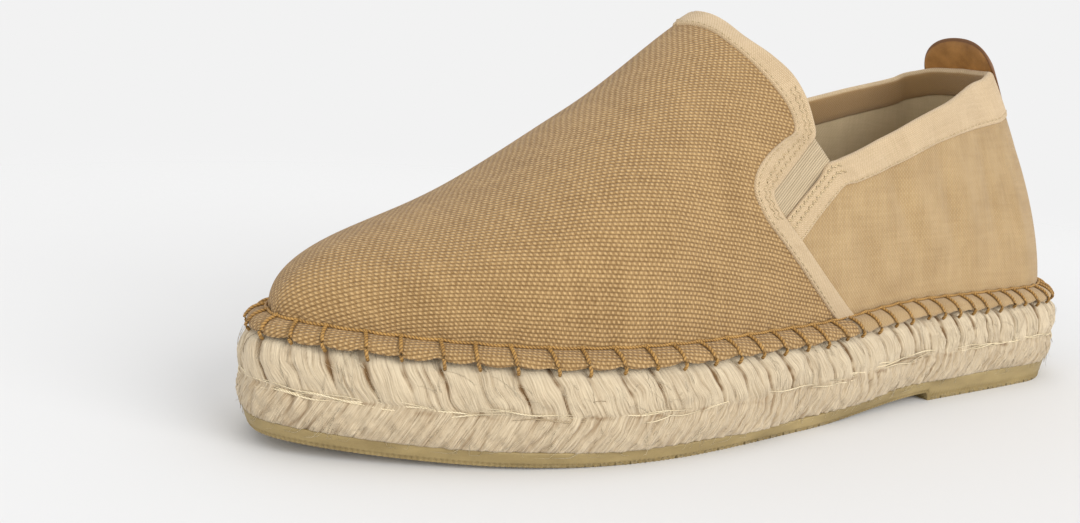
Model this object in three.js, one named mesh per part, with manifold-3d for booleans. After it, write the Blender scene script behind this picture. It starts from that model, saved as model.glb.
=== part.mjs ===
// An espadrille for the left foot: a rubber outsole, a jute platform, an insole, a hollow canvas
// upper with an elastic gusset in each side and a leather tab at the heel.
// Millimetres. +Y runs to the toe, +X to the inner side of the foot, +Z up from the floor.
import * as THREE from 'three';
import Module from 'manifold-3d';
import { mergeVertices } from 'three/addons/utils/BufferGeometryUtils.js';

// ---- driving sizes ----

const soleLength = 290;
const gap = 0.3; // clearance between pieces that meet

const heelRound = 0.11; // share of the length over which the outline rounds in at the heel
const heelPower = 2.15;
const toeRound = 0.367; // and at the toe
const toePower = 2.12;

const heelLift = 2.7; // height of the heel block under the sheet of rubber
const breast = 0.288; // where the block ends, as a share of the length
const waist = 0.195; // share of the length over which the sheet comes down to the floor again
const toeSpring = 4.4;
const springFrom = 0.683;

const rubberThick = 4.3;
const rubberInset = { bottom: 2.9, top: 1.4 };

const creaseInset = 7.0; // where the upper meets the platform, inside its widest outline
const creaseRise = 29.1;
const rimInset = 1.9; // the lower edge of the canvas rim
const rimRise = 25.4;
const rimSwell = 0.5; // how far the rim stands out between its edge and the crease
const wall = 1.8; // canvas with its lining

const insoleThick = 2.8;
const insoleInset = 11.2;
const insoleEdge = 0.6; // chamfer round its top
const platformTop = 26.9;

const heelPole = 0.262; // where the sections of the heel run together, as shares of the length
const toePole = 0.803; // and those of the toe
const swell = 0.8; // how far the heel bulges
const swellHeight = 45;

const gusset = { topY: 132.5, topZ: 77, endY: 152.5, endZ: 62, innerRise: 3.4, width: 9, thick: 1.2 };
const tab = { halfWidth: 14.5, top: 112, bottom: 78, thick: 2, power: 2.4, round: 14.5, lowerRound: 3, bend: 99 };

const colours = {
  rubber: '#a39463', jute: '#d9c8a4', canvas: '#bd9a69', lining: '#b3a892', elastic: '#c9bda0', leather: '#8c5a30',
};

// ---- tables ----

// The sole from heel to toe: outer and inner half widths of the platform.
const soleTable = [
  { at: 0.00, outer: 38.0, inner: 38.0 },
  { at: 0.15, outer: 40.5, inner: 38.0 },
  { at: 0.33, outer: 42.5, inner: 34.5 },
  { at: 0.50, outer: 48.0, inner: 41.5 },
  { at: 0.66, outer: 51.4, inner: 49.0 },
  { at: 0.82, outer: 47.5, inner: 48.0 },
  { at: 1.00, outer: 32.6, inner: 49.0 },
];

// The last: height of the ridge and its place across the foot, and how full each side's section is.
// Behind the throat the ridge is not there: the quarters only lean towards it.
const lastTable = [
  { at: 0.00, ridge: 149.0, across: 0.0, outer: 1.28, inner: 1.28 },
  { at: 0.15, ridge: 148.0, across: 0.0, outer: 1.32, inner: 1.62 },
  { at: 0.33, ridge: 135.4, across: 0.0, outer: 1.75, inner: 1.81 },
  { at: 0.50, ridge: 116.0, across: 11.0, outer: 1.86, inner: 1.93 },
  { at: 0.66, ridge: 86.0, across: 3.4, outer: 2.14, inner: 2.05 },
  { at: 0.82, ridge: 59.6, across: 4.8, outer: 2.50, inner: 2.28 },
  { at: 1.00, ridge: 50.0, across: 7.0, outer: 2.50, inner: 2.50 },
];

// The topline from the heel to the middle of the throat. A column of the surface starts at the
// share `from` on the feather edge and ends at the share `to`, at the height of its own side.
const topTable = [
  { from: 0.000, to: 0.000, outer: 101.5, inner: 101.5 },
  { from: 0.060, to: 0.060, outer: 100.6, inner: 98.8 },
  { from: 0.124, to: 0.124, outer: 97.9, inner: 95.8 },
  { from: 0.175, to: 0.175, outer: 95.2, inner: 93.7 },
  { from: 0.240, to: 0.240, outer: 90.8, inner: 91.0 },
  { from: 0.330, to: 0.330, outer: 83.4, inner: 85.7 },
  { from: 0.400, to: 0.398, outer: 77.0, inner: 80.6 },
  { from: 0.440, to: 0.447, outer: 73.6, inner: 77.2 },
  { from: 0.455, to: 0.455, outer: 76.7, inner: 80.1 },
  { from: 0.470, to: 0.461, outer: 80.5, inner: 84.1 },
  { from: 0.482, to: 0.463, outer: 86.3, inner: 89.4 },
  { from: 0.494, to: 0.465, outer: 92.0, inner: 94.6 },
  { from: 0.506, to: 0.472, outer: 97.6, inner: 99.9 },
  { from: 0.520, to: 0.486, outer: 102.5, inner: 105.3 },
  { from: 0.535, to: 0.501, outer: 106.6, inner: 110.0 },
  { from: 0.545, to: 0.507, outer: 109.8, inner: 111.9 },
  { from: 0.553, to: 0.5105, outer: 112.3, inner: 113.1 },
  { from: 0.560, to: 0.512, outer: 113.6, inner: 113.6 },
];

// The platform's side from the rubber up to the top, under the rim.
const braidTable = [
  { rise: rubberThick + gap, inset: 1.7 },
  { rise: 6.6, inset: 0.4 },
  { rise: 9.6, inset: 0.0 },
  { rise: 13.2, inset: 0.7 },
  { rise: 17.0, inset: 0.0 },
  { rise: 20.8, inset: 0.7 },
  { rise: 22.8, inset: 2.2 },
  { rise: 24.0, inset: 4.0 },
  { rise: platformTop, inset: 9.0 },
];

// ---- curves ----

const clamp = (x, low, high) => Math.min(Math.max(x, low), high);
const ease = (from, to, x) => {
  const u = clamp((x - from) / (to - from), 0, 1);
  return u * u * (3 - 2 * u);
};

// A smooth curve through one column of a table, whose slope at a row is that between its neighbours.
function through(rows, column, key = 'at') {
  const xs = rows.map((row) => row[key]);
  const ys = rows.map((row) => row[column]);
  const last = xs.length - 1;
  const slopes = xs.map((_, i) => {
    const a = Math.max(i - 1, 0);
    const b = Math.min(i + 1, last);
    return (ys[b] - ys[a]) / (xs[b] - xs[a]);
  });
  return (value) => {
    const x = clamp(value, xs[0], xs[last]);
    const i = clamp(xs.findLastIndex((start) => start <= x), 0, last - 1);
    const h = xs[i + 1] - xs[i];
    const u = (x - xs[i]) / h;
    const blend = u * u * (3 - 2 * u);
    const rise = u * (1 - u);
    return ys[i] * (1 - blend) + ys[i + 1] * blend + rise * h * (slopes[i] * (1 - u) - slopes[i + 1] * u);
  };
}

const sides = { outer: -1, inner: 1 };
const halfWidth = { outer: through(soleTable, 'outer'), inner: through(soleTable, 'inner') };
const ridgeHeight = through(lastTable, 'ridge');
const ridgeAcross = through(lastTable, 'across');
const fullness = { outer: through(lastTable, 'outer'), inner: through(lastTable, 'inner') };
const topShare = through(topTable, 'to', 'from');
const topHeight = { outer: through(topTable, 'outer', 'from'), inner: through(topTable, 'inner', 'from') };
const throatEnd = topTable.at(-1);

// ---- sole outline ----

const endCap = (share) => {
  const heel = clamp(1 - share / heelRound, 0, 1);
  const toe = clamp((share - 1 + toeRound) / toeRound, 0, 1);
  return (1 - heel ** heelPower) ** (1 / heelPower) * (1 - toe ** toePower) ** (1 / toePower);
};

// A point of the outline and its outward normal. The angle runs from 0 at the heel to pi at the toe.
function outline(side, angle) {
  const point = (a) => {
    const share = (1 - Math.cos(a)) / 2;
    return new THREE.Vector2(sides[side] * halfWidth[side](share) * endCap(share), share * soleLength);
  };
  const step = 3e-4;
  const along = point(Math.min(angle + step, Math.PI)).sub(point(Math.max(angle - step, 0)));
  const normal = new THREE.Vector2(along.y, -along.x).multiplyScalar(sides[side]).normalize();
  if (angle < 1e-6) normal.set(0, -1);
  if (angle > Math.PI - 1e-6) normal.set(0, 1);
  return { point: point(angle), normal };
}

const angleAt = (share) => Math.acos(1 - 2 * share);

// Height of the rubber sheet's underside above the floor.
const lift = (share) => heelLift * (1 - ease(breast, breast + waist, share))
  + toeSpring * clamp((share - springFrom) / (1 - springFrom), 0, 1) ** 2;

function solePoint(side, share, inset, rise) {
  const { point, normal } = outline(side, angleAt(share));
  const place = point.addScaledVector(normal, -inset);
  return new THREE.Vector3(place.x, place.y, rise(place.y / soleLength));
}

// ---- last ----

// Brings a share between two poles, so that the sections of the heel and the toe fan out from them.
function betweenPoles(share) {
  const middle = (heelPole + toePole) / 2;
  const half = (toePole - heelPole) / 2;
  const s = (share - middle) / half;
  return middle + (half * s) / (1 + Math.abs(s) ** 6) ** (1 / 6);
}

// The upper's outer surface: climb is 0 on the crease and 1 on the ridge, along a superellipse.
function lastPoint(side, share, climb) {
  const { point, normal } = outline(side, angleAt(share));
  const foot = point.addScaledVector(normal, -creaseInset);
  const at = foot.y / soleLength;
  const pole = betweenPoles(at);
  const power = 2 / fullness[side](at);
  const turn = (clamp(climb, 0, 1) * Math.PI) / 2;
  const inward = 1 - Math.cos(turn) ** power;
  const upward = Math.sin(turn) ** power;
  const x = foot.x + (ridgeAcross(pole) - foot.x) * inward;
  const y = foot.y + (pole * soleLength - foot.y) * inward;
  const start = lift(at) + creaseRise;
  const z = start + (ridgeHeight(y / soleLength) - start) * upward;
  const u = clamp((z - start) / swellHeight, 0, 1);
  const bulge = swell * (1 - ease(0, 0.2, at)) * 4 * u * (1 - u);
  return new THREE.Vector3(x + normal.x * bulge, y + normal.y * bulge, z);
}

// How far up a section reaches a height.
function climbTo(side, share, height) {
  let low = 0;
  let high = 1;
  for (let i = 0; i < 30; i++) {
    const middle = (low + high) / 2;
    if (lastPoint(side, share, middle).z < height) low = middle;
    else high = middle;
  }
  return (low + high) / 2;
}

// ---- meshes ----

function geometryOf(points, triangles) {
  const geometry = new THREE.BufferGeometry();
  geometry.setAttribute('position', new THREE.Float32BufferAttribute(points.flatMap((p) => p.toArray()), 3));
  geometry.setIndex(triangles);
  return geometry;
}

// A closed body through a stack of loops with equally many points, each end closed by strips across.
function stack(loops) {
  const count = loops[0].length;
  const triangles = [];
  const quad = (a, b, c, d) => triangles.push(a, b, c, a, c, d);
  for (let k = 0; k + 1 < loops.length; k++) {
    for (let i = 0; i < count; i++) {
      const j = (i + 1) % count;
      quad(k * count + i, (k + 1) * count + i, (k + 1) * count + j, k * count + j);
    }
  }
  const top = (loops.length - 1) * count;
  const half = count / 2;
  for (let i = 0; i < half; i++) {
    const across = (count - i) % count;
    if (i === 0) {
      triangles.push(0, 1, count - 1, top, top + count - 1, top + 1);
    } else if (i === half - 1) {
      triangles.push(i, half, across, top + i, top + across, top + half);
    } else {
      quad(i, i + 1, across - 1, across);
      quad(top + across, top + across - 1, top + i + 1, top + i);
    }
  }
  return geometryOf(loops.flat(), triangles);
}

// A closed loop round the sole: up the outer side from heel to toe and back down the inner side.
function soleLoop(shares, inset, rise) {
  const outer = shares.map((share) => solePoint('outer', share, inset, rise));
  const inner = shares.slice(1, -1).reverse().map((share) => solePoint('inner', share, inset, rise));
  return [...outer, ...inner];
}

// Shares from a start to an end, closer together towards the heel, evenly or towards the toe.
const spread = {
  heel: (u) => 1 - Math.cos((u * Math.PI) / 2),
  even: (u) => u,
  toe: (u) => Math.sin((u * Math.PI) / 2),
};
function shareList(...stretches) {
  const shares = [0];
  for (const { to, steps, kind } of stretches) {
    const from = shares.at(-1);
    for (let i = 1; i <= steps; i++) shares.push(from + (to - from) * spread[kind](i / steps));
  }
  return shares;
}

async function manifoldKit() {
  const wasm = await Module();
  wasm.setup();
  const toSolid = (geometry) => {
    const bare = geometry.clone();
    bare.deleteAttribute('normal');
    bare.deleteAttribute('uv');
    const merged = mergeVertices(bare, 1e-5);
    return new wasm.Manifold(new wasm.Mesh({
      numProp: 3,
      vertProperties: new Float32Array(merged.attributes.position.array),
      triVerts: new Uint32Array(merged.index.array),
    }));
  };
  const toGeometry = (solid) => {
    const mesh = solid.getMesh();
    const geometry = new THREE.BufferGeometry();
    geometry.setAttribute('position', new THREE.BufferAttribute(new Float32Array(mesh.vertProperties), 3));
    geometry.setIndex([...mesh.triVerts]);
    return geometry;
  };
  return { toSolid, toGeometry };
}
const kit = await manifoldKit();

// ---- pieces ----

const breastSlope = 0.002; // the breast's lean, as a share of the length

function outsole() {
  const shares = shareList(
    { to: breast - breastSlope, steps: 13, kind: 'heel' },
    { to: breast + breastSlope, steps: 1, kind: 'even' },
    { to: 0.62, steps: 7, kind: 'even' },
    { to: 1, steps: 15, kind: 'toe' },
  );
  const floor = (share) => (share < breast ? 0 : lift(share));
  return stack([
    soleLoop(shares, rubberInset.bottom, floor),
    soleLoop(shares, rubberInset.top, (share) => lift(share) + rubberThick),
  ]);
}

const roundShares = shareList(
  { to: 0.4, steps: 14, kind: 'heel' }, { to: 0.6, steps: 4, kind: 'even' }, { to: 1, steps: 15, kind: 'toe' },
);

function midsole() {
  return stack(braidTable.map(({ rise, inset }) => soleLoop(roundShares, inset, (share) => lift(share) + rise)));
}

function insole() {
  const bottom = platformTop + gap;
  const levels = [
    { rise: bottom, inset: insoleInset },
    { rise: bottom + insoleThick - insoleEdge, inset: insoleInset },
    { rise: bottom + insoleThick, inset: insoleInset + insoleEdge },
  ];
  return stack(levels.map(({ rise, inset }) => soleLoop(roundShares, inset, (share) => lift(share) + rise)));
}

const upperRows = 10;
const upperShares = shareList(
  { to: 0.43, steps: 14, kind: 'heel' }, { to: throatEnd.from, steps: 18, kind: 'even' },
  { to: 1, steps: 16, kind: 'toe' },
);

// The outer skin of the upper as a grid of columns. Rows climb from the rim's edge over the crease to
// the topline or the ridge, where the columns of the two sides meet.
function upperSkin() {
  const column = (side, share) => {
    const ridged = share >= throatEnd.from;
    const beyond = (share - throatEnd.from) / (1 - throatEnd.from);
    const to = ridged ? throatEnd.to + beyond * (1 - throatEnd.to) : topShare(share);
    const end = ridged ? 1 : climbTo(side, to, topHeight[side](share));
    const rim = solePoint(side, share, rimInset, (s) => lift(s) + rimRise);
    const crease = lastPoint(side, share, 0);
    const shoulder = rim.clone().lerp(crease, 0.5);
    shoulder.z += rimSwell;
    const climb = Array.from({ length: upperRows }, (_, k) => {
      const u = (k + 1) / upperRows;
      return lastPoint(side, share + (to - share) * u, end * u);
    });
    return [rim, shoulder, crease, ...climb];
  };
  const outer = upperShares.map((share) => column('outer', share));
  const inner = upperShares.slice(1, -1).reverse().map((share) => column('inner', share));
  return [...outer, ...inner];
}

// The skin and a second one a wall's thickness inside it, joined along the topline and the rim.
function upperShell() {
  const columns = upperSkin();
  const points = columns.flat();
  const height = columns[0].length;
  const count = columns.length;
  const toe = upperShares.length - 1;
  const ridgeFrom = upperShares.findIndex((share) => share >= throatEnd.from);
  const id = (column, row) => {
    const own = column % count;
    const onRidge = row === height - 1 && own > toe && count - own >= ridgeFrom;
    return (onRidge ? count - own : own) * height + row;
  };
  const skin = [];
  for (let i = 0; i < count; i++) {
    for (let k = 0; k + 1 < height; k++) {
      const [a, b, c, d] = [id(i, k), id(i + 1, k), id(i + 1, k + 1), id(i, k + 1)];
      const falling = points[b].distanceTo(points[d]) < points[a].distanceTo(points[c]);
      if (c === d) skin.push([a, c, b]);
      else if (falling) skin.push([a, d, b], [b, d, c]);
      else skin.push([a, c, b], [a, d, c]);
    }
  }
  const normals = points.map(() => new THREE.Vector3());
  for (const [a, b, c] of skin) {
    const edge = points[b].clone().sub(points[a]);
    const face = edge.cross(points[c].clone().sub(points[a]));
    for (const i of [a, b, c]) normals[i].add(face);
  }
  const inside = points.map((p, i) => p.clone().addScaledVector(normals[i].normalize(), -wall));
  const shift = points.length;
  const triangles = skin.flatMap(([a, b, c]) => [a, b, c, shift + a, shift + c, shift + b]);
  for (let i = 0; i < count; i++) {
    const [a, b] = [id(i, 0), id(i + 1, 0)];
    triangles.push(a, b, shift + b, a, shift + b, shift + a);
    const open = i < ridgeFrom || i >= count - ridgeFrom;
    const [c, d] = [id(i, height - 1), id(i + 1, height - 1)];
    if (open) triangles.push(c, shift + d, d, c, shift + c, shift + d);
  }
  return mergeVertices(geometryOf([...points, ...inside], triangles), 1e-6);
}

// A slanted bar through one side of the upper. Its section lies in the plane of length and height.
function gussetBar(side, width, above, below) {
  const reach = 60;
  const inFrom = 8; // the bar starts this far off the middle of the foot
  const start = new THREE.Vector2(gusset.topY, gusset.topZ);
  const along = new THREE.Vector2(gusset.endY, gusset.endZ).sub(start);
  const length = along.length();
  const bar = new THREE.BoxGeometry(reach, length + above + below, width);
  bar.translate(reach / 2, (below - above) / 2, 0);
  if (side === 'outer') bar.scale(-1, 1, 1);
  if (side === 'outer') bar.index.array.reverse();
  bar.rotateX(Math.atan2(along.y, along.x));
  const middle = start.addScaledVector(along, 0.5);
  bar.translate(sides[side] * inFrom, middle.x, middle.y + (side === 'inner' ? gusset.innerRise : 0));
  return kit.toSolid(bar);
}

function upper() {
  const aboveTopline = 20;
  let shell = kit.toSolid(upperShell());
  for (const side of Object.keys(sides)) {
    shell = shell.subtract(gussetBar(side, gusset.width, aboveTopline, 0));
  }
  return kit.toGeometry(shell);
}

// The patch of each side that holds its gusset, as shares of the length and of the climb.
const gussetPatch = { from: 0.36, to: 0.64, low: 0.05, high: 0.65, across: 10, up: 12 };

// A patch of one side of the upper between two depths under its surface, as a thin closed sheet.
function sideSheet(side, outside, inside) {
  const { from, to, low, high, across, up } = gussetPatch;
  const step = 0.001;
  const place = (depth, i, k) => {
    const share = from + ((to - from) * i) / across;
    const climb = low + ((high - low) * k) / up;
    const point = lastPoint(side, share, climb);
    const along = lastPoint(side, share + step, climb).sub(point);
    const upward = lastPoint(side, share, climb + step).sub(point);
    const normal = upward.cross(along).multiplyScalar(-sides[side]).normalize();
    return point.addScaledVector(normal, -depth);
  };
  return closedSheet(gridOf(place, [outside, inside], across, up), across, up);
}

const gridOf = (place, depths, across, up) => depths.flatMap((depth) => {
  const columns = Array.from({ length: across + 1 }, (_, i) => i);
  const rows = Array.from({ length: up + 1 }, (_, k) => k);
  return columns.flatMap((i) => rows.map((k) => place(depth, i, k)));
});

// Closes a front and a back grid of points, each (across + 1) columns of (up + 1), into one body.
function closedSheet(points, across, up) {
  const rows = up + 1;
  const back = (across + 1) * rows;
  const id = (i, k) => i * rows + k;
  const triangles = [];
  const quad = (a, b, c, d) => triangles.push(a, b, c, a, c, d);
  for (let i = 0; i < across; i++) {
    for (let k = 0; k < up; k++) {
      quad(id(i, k), id(i + 1, k), id(i + 1, k + 1), id(i, k + 1));
      quad(back + id(i, k), back + id(i, k + 1), back + id(i + 1, k + 1), back + id(i + 1, k));
    }
    quad(id(i, 0), back + id(i, 0), back + id(i + 1, 0), id(i + 1, 0));
    quad(id(i, up), id(i + 1, up), back + id(i + 1, up), back + id(i, up));
  }
  for (let k = 0; k < up; k++) {
    quad(id(0, k), id(0, k + 1), back + id(0, k + 1), back + id(0, k));
    quad(id(across, k), back + id(across, k), back + id(across, k + 1), id(across, k + 1));
  }
  const geometry = geometryOf(points, triangles);
  if (volumeOf(geometry) < 0) geometry.index.array.reverse();
  return geometry;
}

function volumeOf(geometry) {
  const { position } = geometry.attributes;
  const corner = (i) => new THREE.Vector3().fromBufferAttribute(position, geometry.index.getX(i));
  let volume = 0;
  for (let i = 0; i < geometry.index.count; i += 3) {
    volume += corner(i).dot(corner(i + 1).cross(corner(i + 2))) / 6;
  }
  return volume;
}

function gussetPiece(side) {
  const depth = (wall - gusset.thick) / 2;
  const sheet = kit.toSolid(sideSheet(side, depth, depth + gusset.thick));
  return kit.toGeometry(sheet.intersect(gussetBar(side, gusset.width - 2 * gap, 0, -gap)));
}

// A place on the back of the heel at a distance across and a height.
function heelPoint(x, height) {
  const side = x < 0 ? 'outer' : 'inner';
  const at = (share) => lastPoint(side, share, climbTo(side, share, height));
  let low = 0;
  let high = 0.16;
  for (let i = 0; i < 24; i++) {
    const middle = (low + high) / 2;
    if (Math.abs(at(middle).x) < Math.abs(x)) low = middle;
    else high = middle;
  }
  return at(low);
}

// The tab lies on the back of the heel and runs on above the collar along the heel's own slope.
function pullTab() {
  const across = 12;
  const up = 12;
  const slopeStep = 4;
  const fullest = 0.999; // the outermost column keeps a little height
  const place = (depth, i, k) => {
    const share = Math.sin(((i / across) * 2 - 1) * (Math.PI / 2));
    const x = share * tab.halfWidth;
    const arch = (1 - Math.abs(share * fullest) ** tab.power) ** (1 / tab.power);
    const bottom = tab.bottom + tab.lowerRound * (1 - arch);
    const height = bottom + ((tab.top - tab.round * (1 - arch) - bottom) * k) / up;
    const low = Math.min(height, tab.bend);
    const at = heelPoint(x, low);
    const slope = at.clone().sub(heelPoint(x, low - slopeStep)).divideScalar(slopeStep);
    at.addScaledVector(slope, height - low);
    const aside = heelPoint(x + 1, low).sub(heelPoint(x - 1, low));
    const normal = slope.cross(aside).normalize();
    return at.addScaledVector(normal, -depth);
  };
  return closedSheet(gridOf(place, [gap + tab.thick, gap], across, up), across, up);
}

// ---- assembly ----

const material = (color, roughness) => new THREE.MeshStandardMaterial({ color, roughness, metalness: 0 });

function piece(name, geometry, finish) {
  geometry.computeVertexNormals();
  const mesh = new THREE.Mesh(geometry, finish);
  mesh.name = name;
  return mesh;
}

const espadrille = new THREE.Group();
espadrille.name = 'espadrille';
espadrille.add(
  piece('outsole', outsole(), material(colours.rubber, 0.8)),
  piece('midsole', midsole(), material(colours.jute, 0.9)),
  piece('insole', insole(), material(colours.lining, 0.9)),
  piece('upper', upper(), material(colours.canvas, 0.9)),
  piece('gusset_outer', gussetPiece('outer'), material(colours.elastic, 0.85)),
  piece('gusset_inner', gussetPiece('inner'), material(colours.elastic, 0.85)),
  piece('pull_tab', pullTab(), material(colours.leather, 0.6)),
);

// The origin is under the middle of the whole shoe.
const bounds = new THREE.Box3().setFromObject(espadrille);
const centre = bounds.getCenter(new THREE.Vector3());
espadrille.position.set(-centre.x, -centre.y, -bounds.min.z);

export default espadrille;
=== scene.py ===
# Espadrille for the left foot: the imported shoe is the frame, and each piece gets its cloth, jute,
# stitching, rubber or leather here. Sizes are millimetres until a mesh is made.
import math

import bmesh
import bpy
import numpy as np
from mathutils import Matrix, Vector


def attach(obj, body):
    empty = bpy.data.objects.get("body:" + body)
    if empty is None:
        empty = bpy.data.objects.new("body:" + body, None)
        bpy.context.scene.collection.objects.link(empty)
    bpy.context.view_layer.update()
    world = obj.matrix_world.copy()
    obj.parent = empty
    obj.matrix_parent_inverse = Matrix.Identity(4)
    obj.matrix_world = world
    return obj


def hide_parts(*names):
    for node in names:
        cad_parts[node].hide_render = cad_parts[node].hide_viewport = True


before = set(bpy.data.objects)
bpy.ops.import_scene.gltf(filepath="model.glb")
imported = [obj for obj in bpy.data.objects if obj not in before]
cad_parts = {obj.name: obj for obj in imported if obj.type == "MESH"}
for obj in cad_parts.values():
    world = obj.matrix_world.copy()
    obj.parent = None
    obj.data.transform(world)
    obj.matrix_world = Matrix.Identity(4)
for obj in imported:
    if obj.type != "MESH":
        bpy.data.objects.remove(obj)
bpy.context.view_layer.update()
print("frame loaded")

millimetre = 0.001

# the shoe's own shape, by the same sizes and formulas as its solids; rises are above the underside
# of the rubber sheet, and shares are of the length from the heel
shoe = {
    "length": 290.0,
    "heelRound": 0.11, "heelPower": 2.15, "toeRound": 0.367, "toePower": 2.12,
    "heelLift": 2.7, "breast": 0.288, "waist": 0.195, "toeSpring": 4.4, "springFrom": 0.683,
    "creaseInset": 7.0, "creaseRise": 29.1, "rimInset": 1.9, "rimRise": 25.4,
    "heelPole": 0.262, "toePole": 0.803, "swell": 0.8, "swellHeight": 45.0,
    "wall": 1.8, "gap": 0.3,
}
# share of the length, outer half width, inner half width
soleTable = np.array([
    (0.00, 38.0, 38.0), (0.15, 40.5, 38.0), (0.33, 42.5, 34.5), (0.50, 48.0, 41.5),
    (0.66, 51.4, 49.0), (0.82, 47.5, 48.0), (1.00, 32.6, 49.0),
])
# share, ridge height, ridge across, fullness of the outer and of the inner section
lastTable = np.array([
    (0.00, 149.0, 0.0, 1.28, 1.28), (0.15, 148.0, 0.0, 1.32, 1.62), (0.33, 135.4, 0.0, 1.75, 1.81),
    (0.50, 116.0, 11.0, 1.86, 1.93), (0.66, 86.0, 3.4, 2.14, 2.05), (0.82, 59.6, 4.8, 2.50, 2.28),
    (1.00, 50.0, 7.0, 2.50, 2.50),
])
# share at the foot of a column, share at its top, height of the outer and of the inner topline
topTable = np.array([
    (0.000, 0.000, 101.5, 101.5), (0.060, 0.060, 100.6, 98.8), (0.124, 0.124, 97.9, 95.8),
    (0.175, 0.175, 95.2, 93.7), (0.240, 0.240, 90.8, 91.0), (0.330, 0.330, 83.4, 85.7),
    (0.400, 0.398, 77.0, 80.6), (0.440, 0.447, 73.6, 77.2), (0.455, 0.455, 76.7, 80.1),
    (0.470, 0.461, 80.5, 84.1), (0.482, 0.463, 86.3, 89.4), (0.494, 0.465, 92.0, 94.6),
    (0.506, 0.472, 97.6, 99.9), (0.520, 0.486, 102.5, 105.3), (0.535, 0.501, 106.6, 110.0),
    (0.545, 0.507, 109.8, 111.9), (0.553, 0.5105, 112.3, 113.1), (0.560, 0.512, 113.6, 113.6),
])
throatFoot, throatTop = topTable[-1, 0], topTable[-1, 1]


# Hermite curve through the rows: y = blend of the two rows + u (1 - u) h (slope terms)
def through(table, column, x):
    xs, ys = table[:, 0], table[:, column]
    x = np.clip(x, xs[0], xs[-1])
    slopes = np.empty(len(xs))
    slopes[1:-1] = (ys[2:] - ys[:-2]) / (xs[2:] - xs[:-2])
    slopes[0] = (ys[1] - ys[0]) / (xs[1] - xs[0])
    slopes[-1] = (ys[-1] - ys[-2]) / (xs[-1] - xs[-2])
    i = np.clip(np.searchsorted(xs, x, side="right") - 1, 0, len(xs) - 2)
    h = xs[i + 1] - xs[i]
    u = (x - xs[i]) / h
    blend = u * u * (3 - 2 * u)
    turnTerm = u * (1 - u) * h * (slopes[i] * (1 - u) - slopes[i + 1] * u)
    return ys[i] * (1 - blend) + ys[i + 1] * blend + turnTerm


# 0 before start, 1 after end, 3u^2 - 2u^3 between them
def ease(start, end, x):
    u = np.clip((x - start) / (end - start), 0, 1)
    return u * u * (3 - 2 * u)


# turn runs round the sole: 0 heel, a half toe, outer side first; share = (1 - cos 2 pi turn) / 2
def turnOf(side, share):
    half = np.arccos(1 - 2 * np.clip(share, 0, 1)) / (2 * np.pi)
    return np.where(np.asarray(side) < 0, half, 1 - half)


# -1 on the outer side, 1 on the inner one
def sideOf(turn):
    return np.where(np.mod(turn, 1) < 0.5, -1.0, 1.0)


def shareOf(turn):
    return (1 - np.cos(2 * np.pi * turn)) / 2  # of the length, from the heel


# half width times a superellipse cap at each end
def outlinePoint(turn):
    share, side = shareOf(turn), sideOf(turn)
    width = np.where(side < 0, through(soleTable, 1, share), through(soleTable, 2, share))
    heel = np.clip(1 - share / shoe["heelRound"], 0, 1)
    toe = np.clip((share - 1 + shoe["toeRound"]) / shoe["toeRound"], 0, 1)
    cap = (1 - heel ** shoe["heelPower"]) ** (1 / shoe["heelPower"])
    cap = cap * (1 - toe ** shoe["toePower"]) ** (1 / shoe["toePower"])
    return side * width * cap, share * shoe["length"]


# outline point and the outward normal (-dy, dx) of the direction of travel
def outline(turn):
    step = 2e-4
    x, y = outlinePoint(turn)
    x0, y0 = outlinePoint(turn - step)
    x1, y1 = outlinePoint(turn + step)
    dx, dy = x1 - x0, y1 - y0
    size = np.hypot(dx, dy)
    return x, y, -dy / size, dx / size


# the outline moved in along its normal: point - normal * inset
def insetPoint(turn, inset):
    x, y, nx, ny = outline(turn)
    return x - nx * inset, y - ny * inset, nx, ny


# height of the rubber sheet's underside: heel lift eased away over the waist, parabola at the toe
def lift(share):
    heel = shoe["heelLift"] * (1 - ease(shoe["breast"], shoe["breast"] + shoe["waist"], share))
    toe = np.clip((share - shoe["springFrom"]) / (1 - shoe["springFrom"]), 0, 1)
    return heel + shoe["toeSpring"] * toe ** 2


# where on the ridge a column from a share of the length ends: middle + half s / (1 + |s|^6)^(1/6),
# which follows the share at the waist and stops at the poles of heel and toe
def poleOf(at):
    middle = (shoe["heelPole"] + shoe["toePole"]) / 2
    half = (shoe["toePole"] - shoe["heelPole"]) / 2
    s = (at - middle) / half
    return middle + half * s / (1 + np.abs(s) ** 6) ** (1 / 6)


# each column is a superellipse from the crease (climb 0) to the ridge (climb 1)
def plainSkin(turn, climb):
    footX, footY, nx, ny = insetPoint(turn, shoe["creaseInset"])
    at = footY / shoe["length"]
    pole = poleOf(at)
    side = sideOf(turn)
    outer, inner = through(lastTable, 3, at), through(lastTable, 4, at)
    apart = ease(0.0, 0.10, shareOf(turn))
    full = (outer + inner) / 2 + (outer - inner) / 2 * apart * np.where(side < 0, 1.0, -1.0)
    phi = np.clip(climb, 0, 1) * np.pi / 2
    inward = 1 - np.cos(phi) ** (2 / full)
    upward = np.sin(phi) ** (2 / full)
    x = footX + (through(lastTable, 2, pole) - footX) * inward
    y = footY + (pole * shoe["length"] - footY) * inward
    start = lift(at) + shoe["creaseRise"]
    z = start + (through(lastTable, 1, y / shoe["length"]) - start) * upward
    u = np.clip((z - start) / shoe["swellHeight"], 0, 1)
    bulge = shoe["swell"] * (1 - ease(0, 0.2, at)) * 4 * u * (1 - u)
    return np.stack([x + nx * bulge, y + ny * bulge, z], -1)


# climb at which a column reaches a height, by halving
def climbTo(turn, height):
    low, high = np.zeros_like(height * turn), np.ones_like(height * turn)
    for _ in range(26):
        middle = (low + high) / 2
        under = plainSkin(turn, middle)[..., 2] < height
        low, high = np.where(under, middle, low), np.where(under, high, middle)
    return (low + high) / 2


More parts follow.
